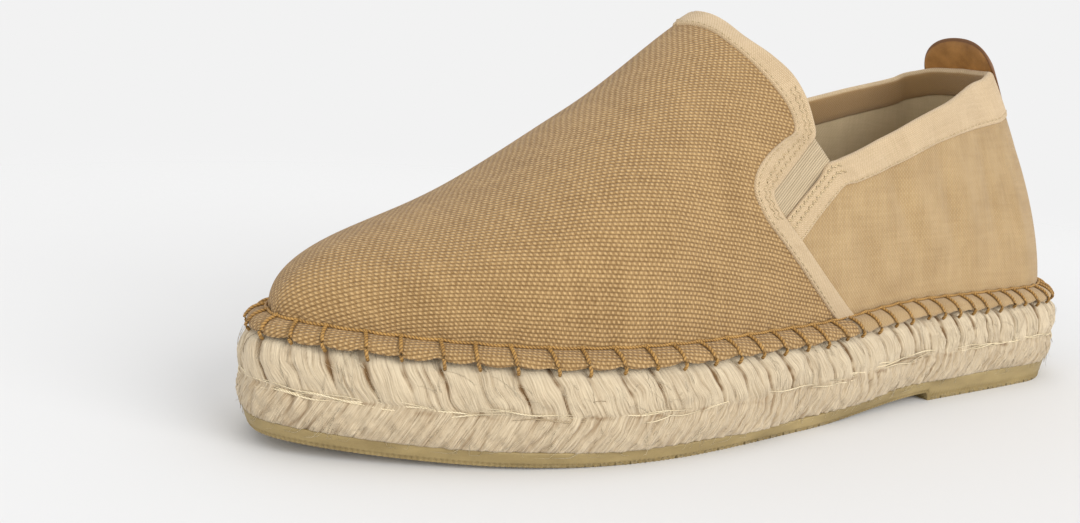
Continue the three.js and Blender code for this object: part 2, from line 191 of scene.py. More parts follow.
# vectors brought to length 1
def unit(vectors):
    return vectors / np.maximum(np.linalg.norm(vectors, axis=-1, keepdims=True), 1e-12)


# soft troughs (depth below 0) and ridges of the cloth: side, share and height of the middle,
# half length, half width, lean from upright in degrees, depth
folds = np.array([
    (-1, 0.335, 60.0, 15.0, 3.0, 28.0, -0.95), (-1, 0.300, 58.0, 17.0, 4.0, 24.0, 0.60),
    (-1, 0.255, 60.0, 19.0, 3.4, 16.0, -0.80), (-1, 0.215, 57.0, 17.0, 4.5, 12.0, 0.60),
    (-1, 0.165, 62.0, 16.0, 3.6, 6.0, -0.75), (-1, 0.105, 55.0, 13.0, 4.0, 4.0, 0.55),
    (-1, 0.395, 47.0, 11.0, 4.0, 40.0, -0.85), (-1, 0.375, 42.0, 12.0, 3.6, 62.0, 0.60),
    (-1, 0.610, 60.0, 16.0, 7.0, -20.0, -0.60), (-1, 0.680, 52.0, 15.0, 8.0, -12.0, 0.35),
    (1, 0.330, 60.0, 16.0, 3.4, 26.0, -0.85), (1, 0.280, 60.0, 18.0, 4.2, 18.0, 0.60),
    (1, 0.225, 58.0, 18.0, 3.6, 12.0, -0.70), (1, 0.150, 60.0, 15.0, 4.0, 5.0, 0.50),
    (1, 0.610, 58.0, 15.0, 7.0, -18.0, -0.60), (1, 0.690, 50.0, 14.0, 8.0, -10.0, 0.35),
])


# sum over the folds of depth exp(-(across / width)^2 - (along / length)^2)
def foldHeight(turn, z):
    side, y = sideOf(turn), shareOf(turn) * shoe["length"]
    total = np.zeros(np.broadcast(turn, z).shape)
    for own, share, height, long, wide, lean, depth in folds:
        slope = math.radians(lean)
        dy, dz = y - share * shoe["length"], z - height
        along = dz * math.cos(slope) + dy * math.sin(slope)
        across = dy * math.cos(slope) - dz * math.sin(slope)
        bump = depth * np.exp(-((across / wide) ** 2) - (along / long) ** 2)
        total = total + np.where(side == own, bump, 0.0)
    return total


# the cloth's outer face: the plain skin moved along its normal by the folds
def skin(turn, climb):
    turn, climb = np.broadcast_arrays(np.asarray(turn, float), np.asarray(climb, float))
    step = 4e-4
    point = plainSkin(turn, climb)
    along = plainSkin(turn + step, climb) - plainSkin(turn - step, climb)
    lower = np.clip(climb - step, 0, 1)
    upper = np.clip(climb + step, 0, 1)
    upward = plainSkin(turn, upper) - plainSkin(turn, lower)
    normal = unit(np.cross(upward, along))
    return point + normal * foldHeight(turn, point[..., 2])[..., None], normal


# distance round the sole's outline at each turn
roundTurns = np.linspace(0, 1, 6001)
roundX, roundY = outlinePoint(roundTurns)
roundDistance = np.concatenate([[0], np.cumsum(np.hypot(np.diff(roundX), np.diff(roundY)))])
roundLength = roundDistance[-1]
plan = np.array([(roundX.min() + roundX.max()) / 2, shoe["length"] / 2, 0.0])


def distanceAt(turn):
    return np.interp(turn, roundTurns, roundDistance)


# distance from the middle of the heel, below 0 on the inner side
def fromHeel(turn):
    distance = distanceAt(turn)
    return np.where(distance > roundLength / 2, distance - roundLength, distance)


def turnAt(distance):
    return np.interp(distance, roundDistance, roundTurns)


# points in millimetres to a mesh object at the origin; cloth is a vector per point for its material
def makePiece(name, points, faces, materials, cloth=None, faceMaterial=None):
    mesh = bpy.data.meshes.new(name)
    mesh.from_pydata(((points - plan) * millimetre).tolist(), [], faces)
    if cloth is not None:
        layer = mesh.attributes.new("cloth", "FLOAT_VECTOR", "POINT")
        layer.data.foreach_set("vector", np.ascontiguousarray(cloth, np.float32).ravel())
    for material in materials:
        mesh.materials.append(material)
    if faceMaterial is not None:
        mesh.polygons.foreach_set("material_index", np.asarray(faceMaterial, np.int32))
    mesh.polygons.foreach_set("use_smooth", np.full(len(mesh.polygons), True))
    mesh.update()
    piece = bpy.data.objects.new(name, mesh)
    bpy.context.scene.collection.objects.link(piece)
    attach(piece, "root")
    return piece


# turns the faces of a closed piece outward, after joining points that fall together
def recalculate(piece):
    mesh = bmesh.new()
    mesh.from_mesh(piece.data)
    bmesh.ops.remove_doubles(mesh, verts=mesh.verts, dist=2e-6)
    bmesh.ops.recalc_face_normals(mesh, faces=mesh.faces)
    mesh.to_mesh(piece.data)
    mesh.free()


# quads of a grid of numbered points, rows and columns closed on themselves where asked
def gridFaces(rows, columns, closeRows=False, closeColumns=False):
    i = np.arange(rows if closeRows else rows - 1)
    k = np.arange(columns if closeColumns else columns - 1)
    i, k = np.meshgrid(i, k, indexing="ij")
    j, m = (i + 1) % rows, (k + 1) % columns
    corners = [i * columns + k, j * columns + k, j * columns + m, i * columns + m]
    return np.stack(corners, -1).reshape(-1, 4)


# strips across a loop of points, from the first side to the second
def stripFaces(ring):
    count = len(ring)
    half = count // 2
    i = np.arange(1, half - 1)
    middle = np.stack([ring[i], ring[i + 1], ring[count - i - 1], ring[count - i]], -1).tolist()
    first = [[int(ring[0]), int(ring[1]), int(ring[count - 1])]]
    last = [[int(ring[half - 1]), int(ring[half]), int(ring[half + 1])]]
    return first + middle + last


# a stack of closed loops, point by point up the stack, with a lid across its first and last loop
def stackFaces(count, rows):
    ring = np.arange(count) * rows
    walls = gridFaces(count, rows, closeRows=True)[:, ::-1].tolist()
    bottom = [face[::-1] for face in stripFaces(ring)]
    return walls + bottom + stripFaces(ring + rows - 1)


# front and back of a sheet, each a grid, with quads round the edge between them
def sheetFaces(rows, columns):
    total = rows * columns
    front = gridFaces(rows, columns)
    ring = np.concatenate([
        np.arange(columns), np.arange(1, rows) * columns + columns - 1,
        (rows - 1) * columns + np.arange(columns - 2, -1, -1), np.arange(rows - 2, 0, -1) * columns,
    ])
    following = np.roll(ring, -1)
    edge = np.stack([ring, ring + total, following + total, following], -1)
    return front.tolist() + (front + total)[:, ::-1].tolist() + edge.tolist()


# many small tubes as one mesh: path + radius (across cos a + up sin a), closed at both ends;
# paths is (tubes, points, 3), radius a number or one per tube and point
def tubes(paths, radius, sides=6):
    count, steps, _ = paths.shape
    tangent = unit(np.gradient(paths, axis=1))
    guide = np.where(np.abs(tangent[..., 2:3]) > 0.85, np.array([1.0, 0, 0]), np.array([0, 0, 1.0]))
    across = unit(np.cross(tangent, guide))
    up = np.cross(across, tangent)
    angle = np.arange(sides) * 2 * np.pi / sides
    radius = np.broadcast_to(radius, (count, steps))[..., None, None]
    circle = across[:, :, None] * np.cos(angle)[:, None] + up[:, :, None] * np.sin(angle)[:, None]
    points = paths[:, :, None] + circle * radius
    one = gridFaces(steps, sides, closeColumns=True)
    faces = (one[None] + (np.arange(count) * steps * sides)[:, None, None]).reshape(-1, 4).tolist()
    start = np.arange(count)[:, None] * steps * sides + np.arange(sides)
    faces += start.tolist() + (start + (steps - 1) * sides)[:, ::-1].tolist()
    lengths = np.linalg.norm(np.diff(paths, axis=1), axis=-1)
    run = np.concatenate([np.zeros((count, 1)), np.cumsum(lengths, 1)], 1)
    number = np.arange(count)[:, None, None]
    cloth = np.stack(np.broadcast_arrays(run[..., None], angle / (2 * np.pi), number), -1)
    return points.reshape(-1, 3), faces, cloth.reshape(-1, 3)


# two sets of tubes as one
def joined(first, second):
    points, faces, cloth = first
    more, moreFaces, moreCloth = second
    faces = faces + [[v + len(points) for v in face] for face in moreFaces]
    return np.concatenate([points, more]), faces, np.concatenate([cloth, moreCloth])


# smooth irregular waves of about the given length: a sum of sines in random directions
def ripple(x, y, wave, seed, count=7):
    own = np.random.default_rng(seed)
    total = 0
    for _ in range(count):
        heading, phase = own.uniform(0, np.pi), own.uniform(0, 2 * np.pi)
        rate = 2 * np.pi / (wave * own.uniform(0.6, 1.6))
        total = total + np.sin((x * math.cos(heading) + y * math.sin(heading)) * rate + phase)
    return total / math.sqrt(count)


# one socket of a material's node tree; an expression on it adds its Math nodes, and add() any
# other node from its type, its settings and the values or links of its sockets
class Signal:
    def __init__(self, tree, socket=None):
        self.tree, self.socket = tree, socket

    def add(self, kind, settings=None, inputs=None, output=0):
        node = self.tree.nodes.new(kind)
        for key, value in (settings or {}).items():
            setattr(node, key, value)
        for key, value in (inputs or {}).items():
            if isinstance(value, Signal):
                self.tree.links.new(value.socket, node.inputs[key])
            else:
                node.inputs[key].default_value = value
        return Signal(self.tree, node.outputs[output])

    def math(self, operation, *others):
        inputs = {index: value for index, value in enumerate((self, *others))}
        return self.add("ShaderNodeMath", {"operation": operation}, inputs)

    def reflected(self, operation, other):
        return self.add("ShaderNodeMath", {"operation": operation}, {0: other, 1: self})

    def __add__(self, other): return self.math("ADD", other)
    def __radd__(self, other): return self.math("ADD", other)
    def __sub__(self, other): return self.math("SUBTRACT", other)
    def __rsub__(self, other): return self.reflected("SUBTRACT", other)
    def __mul__(self, other): return self.math("MULTIPLY", other)
    def __rmul__(self, other): return self.math("MULTIPLY", other)
    def __truediv__(self, other): return self.math("DIVIDE", other)
    def __rtruediv__(self, other): return self.reflected("DIVIDE", other)
    def __pow__(self, other): return self.math("POWER", other)

    def wave(self):
        return self.math("SINE")

    def size(self):
        return self.math("ABSOLUTE")

    # 0 at low, 1 at high, smooth between them
    def between(self, low, high):
        inputs = {"Value": self, "From Min": low, "From Max": high}
        return self.add("ShaderNodeMapRange", {"interpolation_type": "SMOOTHSTEP"}, inputs)

    # colour blend: the first at 0, the second at 1
    def mix(self, first, second):
        inputs = {0: self, 6: first, 7: second}
        return self.add("ShaderNodeMix", {"data_type": "RGBA"}, inputs, 2)

    # the three parts of a vector
    def axes(self):
        return [self.add("ShaderNodeSeparateXYZ", None, {0: self}, index) for index in range(3)]

    def noise(self, x, y, z=0.0, detail=2.0, rough=0.5):
        place = self.add("ShaderNodeCombineXYZ", None, {0: x, 1: y, 2: z})
        inputs = {"Vector": place, "Scale": 1.0, "Detail": detail, "Roughness": rough}
        return self.add("ShaderNodeTexNoise", {"noise_dimensions": "3D"}, inputs)


# sRGB in 0 to 255 to the linear colour that shaders take
def colour(red, green, blue):
    part = np.array([red, green, blue]) / 255
    linear = np.where(part < 0.04045, part / 12.92, ((part + 0.055) / 1.055) ** 2.4)
    return (*[float(value) for value in linear], 1.0)


# a new material with its even settings; returns it with a signal to build on and its shader
def startMaterial(name, roughness, **fixed):
    material = bpy.data.materials.new(name)
    material.use_nodes = True
    tree = material.node_tree
    shader = tree.nodes["Principled BSDF"]
    shader.inputs["Roughness"].default_value = roughness
    for key, value in fixed.items():
        shader.inputs[key].default_value = value
    return material, Signal(tree), shader


# links what varies: colour, height as a bump of the given depth, and roughness
def finishMaterial(ground, shader, base, height=None, depth=0.001, rough=None):
    ground.tree.links.new(base.socket, shader.inputs["Base Color"])
    if rough is not None:
        ground.tree.links.new(rough.socket, shader.inputs["Roughness"])
    if height is not None:
        bump = ground.add("ShaderNodeBump", None, {"Strength": 1.0, "Distance": depth, "Height": height})
        ground.tree.links.new(bump.socket, shader.inputs["Normal"])


# a piece's own coordinates, the vector per point that makePiece stores
def clothAxes(ground):
    return ground.add("ShaderNodeAttribute", {"attribute_name": "cloth"}, None, 1).axes()


# plain weave: rows of yarn |sin u|, raised where sin u sin v is above 0 and the row passes over
def weaveOf(u, v):
    row, cross = (u * math.pi).wave(), (v * math.pi).wave()
    over = (row * cross).between(-0.45, 0.65)
    return row.size() ** 0.7 * (over * 0.62 + 0.38)


# cloth in plain weave, mottled along both yarns; look gives its colours and contrast
def clothMaterial(name, look):
    material, ground, shader = startMaterial(name, look["roughness"], **{"Sheen Weight": look["sheen"]})
    u, v, inside = clothAxes(ground)
    bend = ground.noise(u * 0.05, v * 0.05) * 1.2
    across = (u + bend) / look["pitch"][0]
    along = (v + bend) / look["pitch"][1]
    height = weaveOf(across, along)
    slubs = ground.noise(across * 0.5, along * 0.035, 3.0)
    slubs = slubs + ground.noise(across * 0.035, along * 0.5, 9.0) - 1.0
    mottle = ground.noise(u * 0.09, v * 0.09, 5.0, 3.0)
    grain = ground.noise(across * 1.3, along * 1.3, 1.0)
    shade = height * look["contrast"] + slubs * look["slubs"]
    shade = shade + (mottle - 0.5) * look["mottle"] + (grain - 0.5) * look["grain"] + look["level"]
    base = shade.between(0.0, 1.0).mix(colour(*look["dark"]), colour(*look["light"]))
    if look.get("speck"):
        speck = ground.noise(u * 0.22, v * 0.22, 2.0, 1.0).between(0.73, 0.8) * look["speck"]
        base = speck.mix(base, colour(*look["dark"]))
    if look.get("inside"):
        base = inside.mix(base, (shade * 0.2 + 0.85).mix(colour(90, 68, 40), colour(*look["inside"])))
    finishMaterial(ground, shader, base, height + slubs * 0.5 + grain * 0.2, look["depth"] * millimetre)
    return material


canvasLook = {
    "pitch": (0.99, 0.67), "dark": (111, 79, 35), "light": (202, 167, 115),
    "roughness": 0.95, "sheen": 0.1,
    "contrast": 0.55, "slubs": 0.20, "mottle": 0.18, "grain": 0.55, "level": 0.18,
    "depth": 0.34, "speck": 0.3,
}
quarterLook = {
    "pitch": (0.62, 0.62), "dark": (132, 99, 51), "light": (188, 159, 113),
    "roughness": 0.92, "sheen": 0.25,
    "contrast": 0.28, "slubs": 0.22, "mottle": 0.40, "grain": 0.15, "level": 0.42,
    "depth": 0.16,
}
tapeLook = {
    "pitch": (0.42, 0.42), "dark": (150, 121, 80), "light": (226, 201, 163),
    "roughness": 0.92, "sheen": 0.2,
    "contrast": 0.34, "slubs": 0.14, "mottle": 0.22, "grain": 0.40, "level": 0.36,
    "depth": 0.16, "inside": (160, 126, 78),
}
liningLook = {
    "pitch": (0.45, 0.45), "dark": (160, 140, 104), "light": (224, 203, 164),
    "roughness": 0.9, "sheen": 0.1,
    "contrast": 0.25, "slubs": 0.15, "mottle": 0.25, "grain": 0.15, "level": 0.4,
    "depth": 0.08,
}
canvas = clothMaterial("canvas_cloth", canvasLook)
quarterCloth = clothMaterial("quarter_cloth", quarterLook)
tapeCloth = clothMaterial("binding_tape", tapeLook)
liningCloth = clothMaterial("lining_cloth", liningLook)

juteLook = {
    "dark": (118, 88, 50), "light": (222, 205, 174), "fine": 2.3, "long": 0.10, "depth": 0.55,
}


# hair-fine streaks along the fibre over broader ones; cloth is across, along, and the painted shade and
# highlight of the place
def juteMaterial(name, look):
    material, ground, shader = startMaterial(name, 0.88, **{"Sheen Weight": 0.15})
    across, along, shade = clothAxes(ground)
    fine = ground.noise(across * look["fine"], along * look["long"], 0.0, 3.0, 0.6)
    broad = ground.noise(across * 1.4, along * 0.10, 4.0, 2.0)
    patch = ground.noise(across * 0.12, along * 0.12, 8.0, 2.0)
    # shade brings in the painted shade of creases and groove and the painted highlight at the top
    level = fine * 0.90 + broad * 0.36 + patch * 0.24 - 0.16 + shade
    base = level.between(-0.1, 1.0).mix(colour(*look["dark"]), colour(*look["light"]))
    finishMaterial(ground, shader, base, fine + broad * 0.7, look["depth"] * millimetre)
    return material


jute = juteMaterial("jute_fibre", juteLook)


# twisted thread: |sin| of a slanted turn for its plies; cloth is the run along it, the share round
# it and its own number, which picks its tone and, where odd is given, the few in that colour
def threadMaterial(name, look):
    material, ground, shader = startMaterial(name, look["roughness"])
    run, circle, own = clothAxes(ground)
    ply = ((run * 1.1 + circle * 2.0) * math.pi).wave().size()
    tone = ground.noise(run * 0.25, own * 3.7, 0.0, 2.0)
    shade = (ply * 0.6 + tone * 0.8 - 0.3).between(0.0, 1.0)
    base = shade.mix(colour(*look["dark"]), colour(*look["light"]))
    if look.get("odd"):
        few = ground.noise(own * 7.3, 0.5).between(0.66, 0.68)
        base = few.mix(base, colour(*look["odd"]))
    finishMaterial(ground, shader, base, ply, 0.12 * millimetre)
    return material


waxedLook = {"dark": (112, 79, 32), "light": (190, 146, 77), "roughness": 0.6}
creamLook = {"dark": (150, 124, 84), "light": (222, 200, 160), "roughness": 0.7}
fibreLook = {
    "dark": (206, 186, 146), "light": (246, 232, 202), "odd": (120, 88, 48), "roughness": 0.8,
}
waxedThread = threadMaterial("waxed_thread", waxedLook)
creamThread = threadMaterial("cream_thread", creamLook)
fibreThread = threadMaterial("loose_fibre", fibreLook)

rubberLook = {
    "dark": (122, 103, 62), "light": (170, 149, 102),
    "ribs": 4.8, "ribsBelow": 1.2, "ribHeight": 3.0, "depth": 0.4,
}


# clouded rubber, with wavy ribs across its underside below a height
def rubberMaterial(name, look):
    material, ground, shader = startMaterial(name, 0.6)
    x, y, z = ground.add("ShaderNodeTexCoord", None, None, 3).axes()
    cloud = ground.noise(x * 60, y * 60, z * 200, 3.0)
    grain = ground.noise(x * 2500, y * 2500, z * 2500, 2.0)
    under = (z * 1000.0).between(look["ribsBelow"], 0.2)
    place = y * 1000.0 + (x * 700.0).wave() * 1.5
    ribs = (place * (2 * math.pi / look["ribs"])).wave().between(-0.4, 0.5)
    shade = (cloud * 0.9 + grain * 0.2 - 0.05).between(0.1, 0.95)
    base = shade.mix(colour(*look["dark"]), colour(*look["light"]))
    height = ribs * under * look["ribHeight"] + grain * 0.12
    finishMaterial(ground, shader, base, height, look["depth"] * millimetre, cloud * 0.2 + 0.5)
    return material


elasticLook = {
    "rib": 0.7, "knit": 0.55, "depth": 0.25,
    # gap is the colour of a painted shadow where the elastic passes under the cloth's front edge
    "dark": (138, 116, 84), "light": (208, 188, 154), "gap": (70, 52, 30),
}


# ribs |sin| along the slot and finer knit across them, with a painted shadow where it passes under the
# front edge
def elasticMaterial(name, look):
    material, ground, shader = startMaterial(name, 0.85, **{"Sheen Weight": 0.1})
    along, across, _ = clothAxes(ground)
    rib = (across * (math.pi / look["rib"])).wave().size()
    knit = (along * (math.pi / look["knit"])).wave().size()
    tone = ground.noise(across * 0.9, along * 0.1, 0.0)
    shade = (rib * 0.25 + knit * 0.10 + tone * 0.5 + 0.15).between(0.0, 1.1)
    base = shade.mix(colour(*look["dark"]), colour(*look["light"]))
    # painted shadow: a dark band where the elastic passes under the front edge
    base = across.between(-3.2, -4.3).mix(base, colour(*look["gap"]))
    finishMaterial(ground, shader, base, rib + knit * 0.25, look["depth"] * millimetre)
    return material


leatherLook = {"dark": (108, 69, 31), "light": (204, 149, 82), "edge": 0.75, "depth": 0.12}


# cloudy leather with pores, darker at its cut edge
def leatherMaterial(name, look):
    material, ground, shader = startMaterial(name, 0.5)
    u, v, edge = clothAxes(ground)
    cloud = ground.noise(u * 0.16, v * 0.16, 0.0, 4.0, 0.6)
    pores = ground.noise(u * 3.2, v * 3.2, 2.0, 3.0)
    shade = (cloud * 0.6 + pores * 0.2 + 0.12 - edge * look["edge"]).between(0.1, 0.95)
    base = shade.mix(colour(*look["dark"]), colour(*look["light"]))
    height = pores + cloud * 0.4
    finishMaterial(ground, shader, base, height, look["depth"] * millimetre, cloud * 0.25 + 0.35)
    return material


rubber = rubberMaterial("khaki_rubber", rubberLook)
elastic = elasticMaterial("ribbed_elastic", elasticLook)
leather = leatherMaterial("tan_leather", leatherLook)
print("materials made")

stitching = {
    "forefoot": 9.3, "heel": 7.2,  # pitch
    "thread": 0.46, "run": 0.38,  # radius of the bars and of the thread along the crease
    "lean": 2.2, "stray": 0.5, "bow": 0.5, "high": -0.25, "long": 1.55, "crease": -0.30,
}


# stitches counted along the outline: the sum of 1 / pitch, closer together at the heel, brought
# to a whole number for the round
def stitchPlaces():
    share = shareOf(roundTurns)
    pitch = stitching["heel"] + (stitching["forefoot"] - stitching["heel"]) * ease(0.2, 0.62, share)
    phase = np.concatenate([[0], np.cumsum(np.diff(roundDistance) / pitch[1:])])
    count = int(round(phase[-1]))
    return phase * count / phase[-1], count


stitchPhaseTable, stitchCount = stitchPlaces()


# number of the stitch at a distance round the sole, as a smooth value
def stitchPhase(distance):
    laps = np.floor(distance / roundLength)
    return np.interp(distance - laps * roundLength, roundDistance, stitchPhaseTable) + laps * stitchCount


braid = {
    "around": 1700, "sideRows": 48, "topRows": 7,
    "bottom": 4.35, "groove": 13.4, "top": 24.6, "platform": 26.9,  # rises
    "slant": 0.5, "lowerSlant": 0.6,  # lean of the bundles in the two rows
    "bundleDepth": 0.5, "crease": 0.95, "creaseWidth": 0.42, "split": 0.4, "splitWidth": 0.34,
    "strand": 1.15, "strandDepth": 0.16, "lump": 0.16,
    "lowerBundle": 4.2, "cutWidth": 0.55, "cutDepth": 0.6, "lowerStrand": 1.0, "lowerStrandDepth": 0.12,
    "swell": 0.35,  # slow unevenness of the whole side
    # painted shade in the creases, splits, cuts, groove and over the lower row, and a painted highlight
    # along the top
    "creaseShade": 1.12, "splitShade": 0.28, "cutShade": 0.22, "grooveShade": 0.26, "rowShade": 0.08,
    "topPaintedHighlight": 0.16,
}
# rise above the rubber sheet's underside, inset from the outline
braidTable = np.array([
    (4.35, 1.25), (6.0, 0.6), (8.8, 0.1), (11.4, 0.3), (13.2, 0.8), (14.8, 0.4), (17.4, 0.0),
    (20.6, 0.5), (22.8, 1.7), (24.0, 3.2), (25.2, 5.6), (26.9, 9.0),
])


# side of the platform: two bulged rows, parted into bundles by creases exp(-(off / width)^2) that
# lean one way in the upper row and the other way in the lower one; the upper bundles keep the
# stitches' pitch, and every crease and strand has its own random strength
def makeBraid():
    own = np.random.default_rng(3)
    distance = np.arange(braid["around"]) * roundLength / braid["around"]
    side = np.linspace(braid["bottom"], braid["top"], braid["sideRows"])
    top = np.linspace(braid["top"], braid["platform"], braid["topRows"] + 1)[1:]
    rise = np.concatenate([side, top])
    a, r = np.meshgrid(distance, rise, indexing="ij")
    turn = turnAt(a)
    low = r + ripple(a, r * 0, 30.0, 3) * 0.5
    upper = ease(braid["groove"] - 0.5, braid["groove"] + 0.8, low)
    fade = 1 - ease(braid["top"] - 0.6, braid["top"] + 1.2, r)
    drop = braid["top"] - r

    pitch = 1 / (stitchPhase(a + 0.5) - stitchPhase(a - 0.5))
    slant = braid["slant"] * (0.35 + 0.65 * ease(0.12, 0.5, shareOf(turn)))
    aslant = a + drop * slant + 0.35 * ripple(a, r, 7.0, 4) * ease(0, 5, drop)
    bundle = stitchPhase(aslant)
    number = np.round(bundle).astype(int) % stitchCount
    strength = own.uniform(0.25, 1.0, stitchCount)[number]
    strength = strength * (1 - 0.45 * ease(4, 10, drop) * own.uniform(0, 1, stitchCount)[number])
    off = (bundle - np.round(bundle)) * pitch
    width = braid["creaseWidth"] * (1 + 0.9 * ease(8, 0, drop))
    crease = np.exp(-((off / width) ** 2)) * strength
    pillow = np.abs(np.sin(np.pi * bundle)) ** 0.6 - 1
    parting = own.uniform(0.18, 0.82, stitchCount)[number]
    aside = (np.mod(bundle, 1) - parting + (drop - 5) * 0.012) * pitch
    split = np.exp(-((aside / braid["splitWidth"]) ** 2)) * own.uniform(0, 1, stitchCount)[number]
    strand = np.abs(np.sin(np.pi * (aslant / braid["strand"] + ripple(a, r, 12.0, 6) * 0.8)))
    upperForm = braid["bundleDepth"] * pillow - braid["crease"] * crease - braid["split"] * split
    upperForm = upperForm + braid["strandDepth"] * strand + braid["lump"] * ripple(a, r, 5.0, 7)

    lean = a + (r - braid["groove"]) * braid["lowerSlant"] + (braid["top"] - braid["groove"]) * slant
    phase = lean / braid["lowerBundle"] + ripple(a, r, 17.0, 8) * 0.35
    cut = np.exp(-(((phase - np.round(phase)) * braid["lowerBundle"] / braid["cutWidth"]) ** 2))
    cut = cut * np.clip(0.35 + 0.5 * ripple(a, r * 0.3, 21.0, 9), 0, 1)
    lowerStrand = np.abs(np.sin(np.pi * (lean / braid["lowerStrand"] + ripple(a, r, 9.0, 12))))
    lowerForm = 0.22 * ripple(a, r, 4.4, 10) + 0.14 * ripple(a, r, 2.4, 13)
    lowerForm = lowerForm + braid["lowerStrandDepth"] * lowerStrand - braid["cutDepth"] * cut

    form = (upperForm * upper + lowerForm * (1 - upper)) * fade
    form = form + braid["swell"] * ripple(a, r, 30.0, 11) * fade
    x, y, _, _ = insetPoint(turn, through(braidTable, 1, r) - form)
    z = lift(y / shoe["length"]) + r
    points = np.stack([x, y, z], -1).reshape(-1, 3)

    # cloth is across the fibre, along it, and the painted light of the place: a painted highlight along
    # the top, less painted shade in the creases, splits, cuts, groove and lower row
    across = aslant * upper + lean * (1 - upper)
    patchy = np.clip(0.72 + 0.5 * ripple(a, r * 2.5, 7.0, 17), 0.25, 1.15)
    # painted shade: creases, splits, cuts, the groove and the lower row are darkened in the colour
    dark = (crease ** 1.6 * braid["creaseShade"] * patchy + split * braid["splitShade"]) * upper * fade
    dark = dark + (cut * braid["cutShade"] + braid["rowShade"]) * (1 - upper)
    broken = np.clip(ripple(a, r * 2, 9.0, 15) - 0.1, 0, 1.2)
    besideGroove = (low - braid["groove"] + 0.4 + 0.5 * ripple(a, r * 0, 5.0, 16)) / 0.55
    dark = dark + braid["grooveShade"] * broken * np.exp(-(besideGroove ** 2))
    # painted highlight: the top of the side is lightened in the colour
    pale = braid["topPaintedHighlight"] * ease(braid["top"] - 2.4, braid["top"] - 0.6, r)
    cloth = np.stack([across, r * 1.1, pale - dark], -1).reshape(-1, 3)
    faces = stackFaces(braid["around"], len(rise))
    piece = makePiece("jute_braid", points, faces, [jute], cloth)
    recalculate(piece)
    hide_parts("midsole")


makeBraid()
print("jute platform made")

outsole = {
    "around": 1840, "teeth": 1.45, "toothDepth": 0.42, "toothSharp": 2.2,
    "breast": 0.002, "foot": 2.4,  # half share over which the heel block ends, height it rises over
    # rise above the sheet's underside, inset, share of the tooth depth
    "profile": [
        (0.0, 3.2, 0.0), (0.0, 3.0, 0.5), (0.22, 2.78, 1.0), (0.95, 2.62, 1.0), (1.15, 2.42, 0.25),
        (1.5, 2.3, 0.0), (2.8, 1.9, 0.0), (3.8, 1.55, 0.0), (4.15, 1.5, 0.0), (4.3, 1.75, 0.0),
    ],
}


# loops up the edge of the sheet, toothed near the floor by a clipped sine along the outline; under
# the heel block they stand on the floor
def makeOutsole():
    count = outsole["around"]
    distance = np.arange(count) * roundLength / count
    turn = turnAt(distance)
    teeth = round(roundLength / outsole["teeth"])
    wave = np.sin(2 * np.pi * distance / (roundLength / teeth)) * outsole["toothSharp"]
    tooth = 0.5 + 0.5 * np.clip(wave, -1, 1)
    rings = []
    for rise, inset, share in outsole["profile"]:
        x, y, _, _ = insetPoint(turn, inset + tooth * share * outsole["toothDepth"])
        at = y / shoe["length"]
        high = lift(at)
        low = high * ease(shoe["breast"] - outsole["breast"], shoe["breast"] + outsole["breast"], at)
        z = rise + low + (high - low) * ease(0.0, outsole["foot"], np.full(count, rise))
        rings.append(np.stack([x, y, z], -1))
    points = np.stack(rings, 1).reshape(-1, 3)
    piece = makePiece("rubber_outsole", points, stackFaces(count, len(rings)), [rubber])
    recalculate(piece)
    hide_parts("outsole")


makeOutsole()

footbed = {
    "around": 360, "dish": 0.6, "lids": (0.1, 0.25, 0.45, 0.65, 0.85),
    "rings": [(27.25, 11.6), (27.3, 11.3), (29.4, 11.25), (29.85, 11.5), (30.0, 12.1)],  # rise, inset
}


# loops up the edge, then a lid that narrows to the middle line and dips by the dish
def makeFootbed():
    count = footbed["around"]
    turn = turnAt(np.arange(count) * roundLength / count)
    rings = []
    for rise, inset in footbed["rings"]:
        x, y, _, _ = insetPoint(turn, inset)
        rings.append(np.stack([x, y, lift(y / shoe["length"]) + rise], -1))
    edge = rings[-1]
    mirror = edge[(count - np.arange(count)) % count]
    for share in footbed["lids"]:
        lid = edge * (1 - share / 2) + mirror * share / 2
        dip = ease(0, 1, np.full(count, share)) * np.sin(np.pi * shareOf(turn)) ** 0.5
        lid[:, 2] -= footbed["dish"] * dip
        rings.append(lid)
    points = np.stack(rings, 1).reshape(-1, 3)
    cloth = points * np.array([1.0, 1.0, 0.0])
    faces = stackFaces(count, len(rings))
    piece = makePiece("footbed", points, faces, [liningCloth], cloth)
    recalculate(piece)
    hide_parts("insole")


makeFootbed()
print("sole made")

# the vamp's two yarns in the flat cloth: one 60 degrees off its middle line, one square to it
vampGrain = [[0.862, -0.057], [-0.507, 0.998]]
upper = {
    "columns": 262, "rows": 62, "rimRows": 12,
    "rimPuff": 0.9, "rimFull": 0.35,  # how the rim swells between the stitches, and all round
    "wave": 0.9, "rough": 0.2,  # unevenness of the rim's cut edge
    "pinch": 0.75, "pinchRows": 2.2,  # how far a stitch draws the wall in, and how far up
    "sink": 1.15,  # bed of the gusset in the wall
}
slotPlace = {
    "topY": 132.5, "topZ": 77.0, "endY": 152.5, "endZ": 62.0, "innerRise": 3.4, "width": 9.0,
}


# distance along the slot from its top and across from its middle line, in the length-height plane
def slotAxes(side, y, z):
    dy, dz = slotPlace["endY"] - slotPlace["topY"], slotPlace["endZ"] - slotPlace["topZ"]
    long = math.hypot(dy, dz)
    py = y - slotPlace["topY"]
    pz = z - slotPlace["topZ"] - np.where(np.asarray(side) > 0, slotPlace["innerRise"], 0.0)
    return (py * dy + pz * dz) / long, (pz * dy - py * dz) / long, long


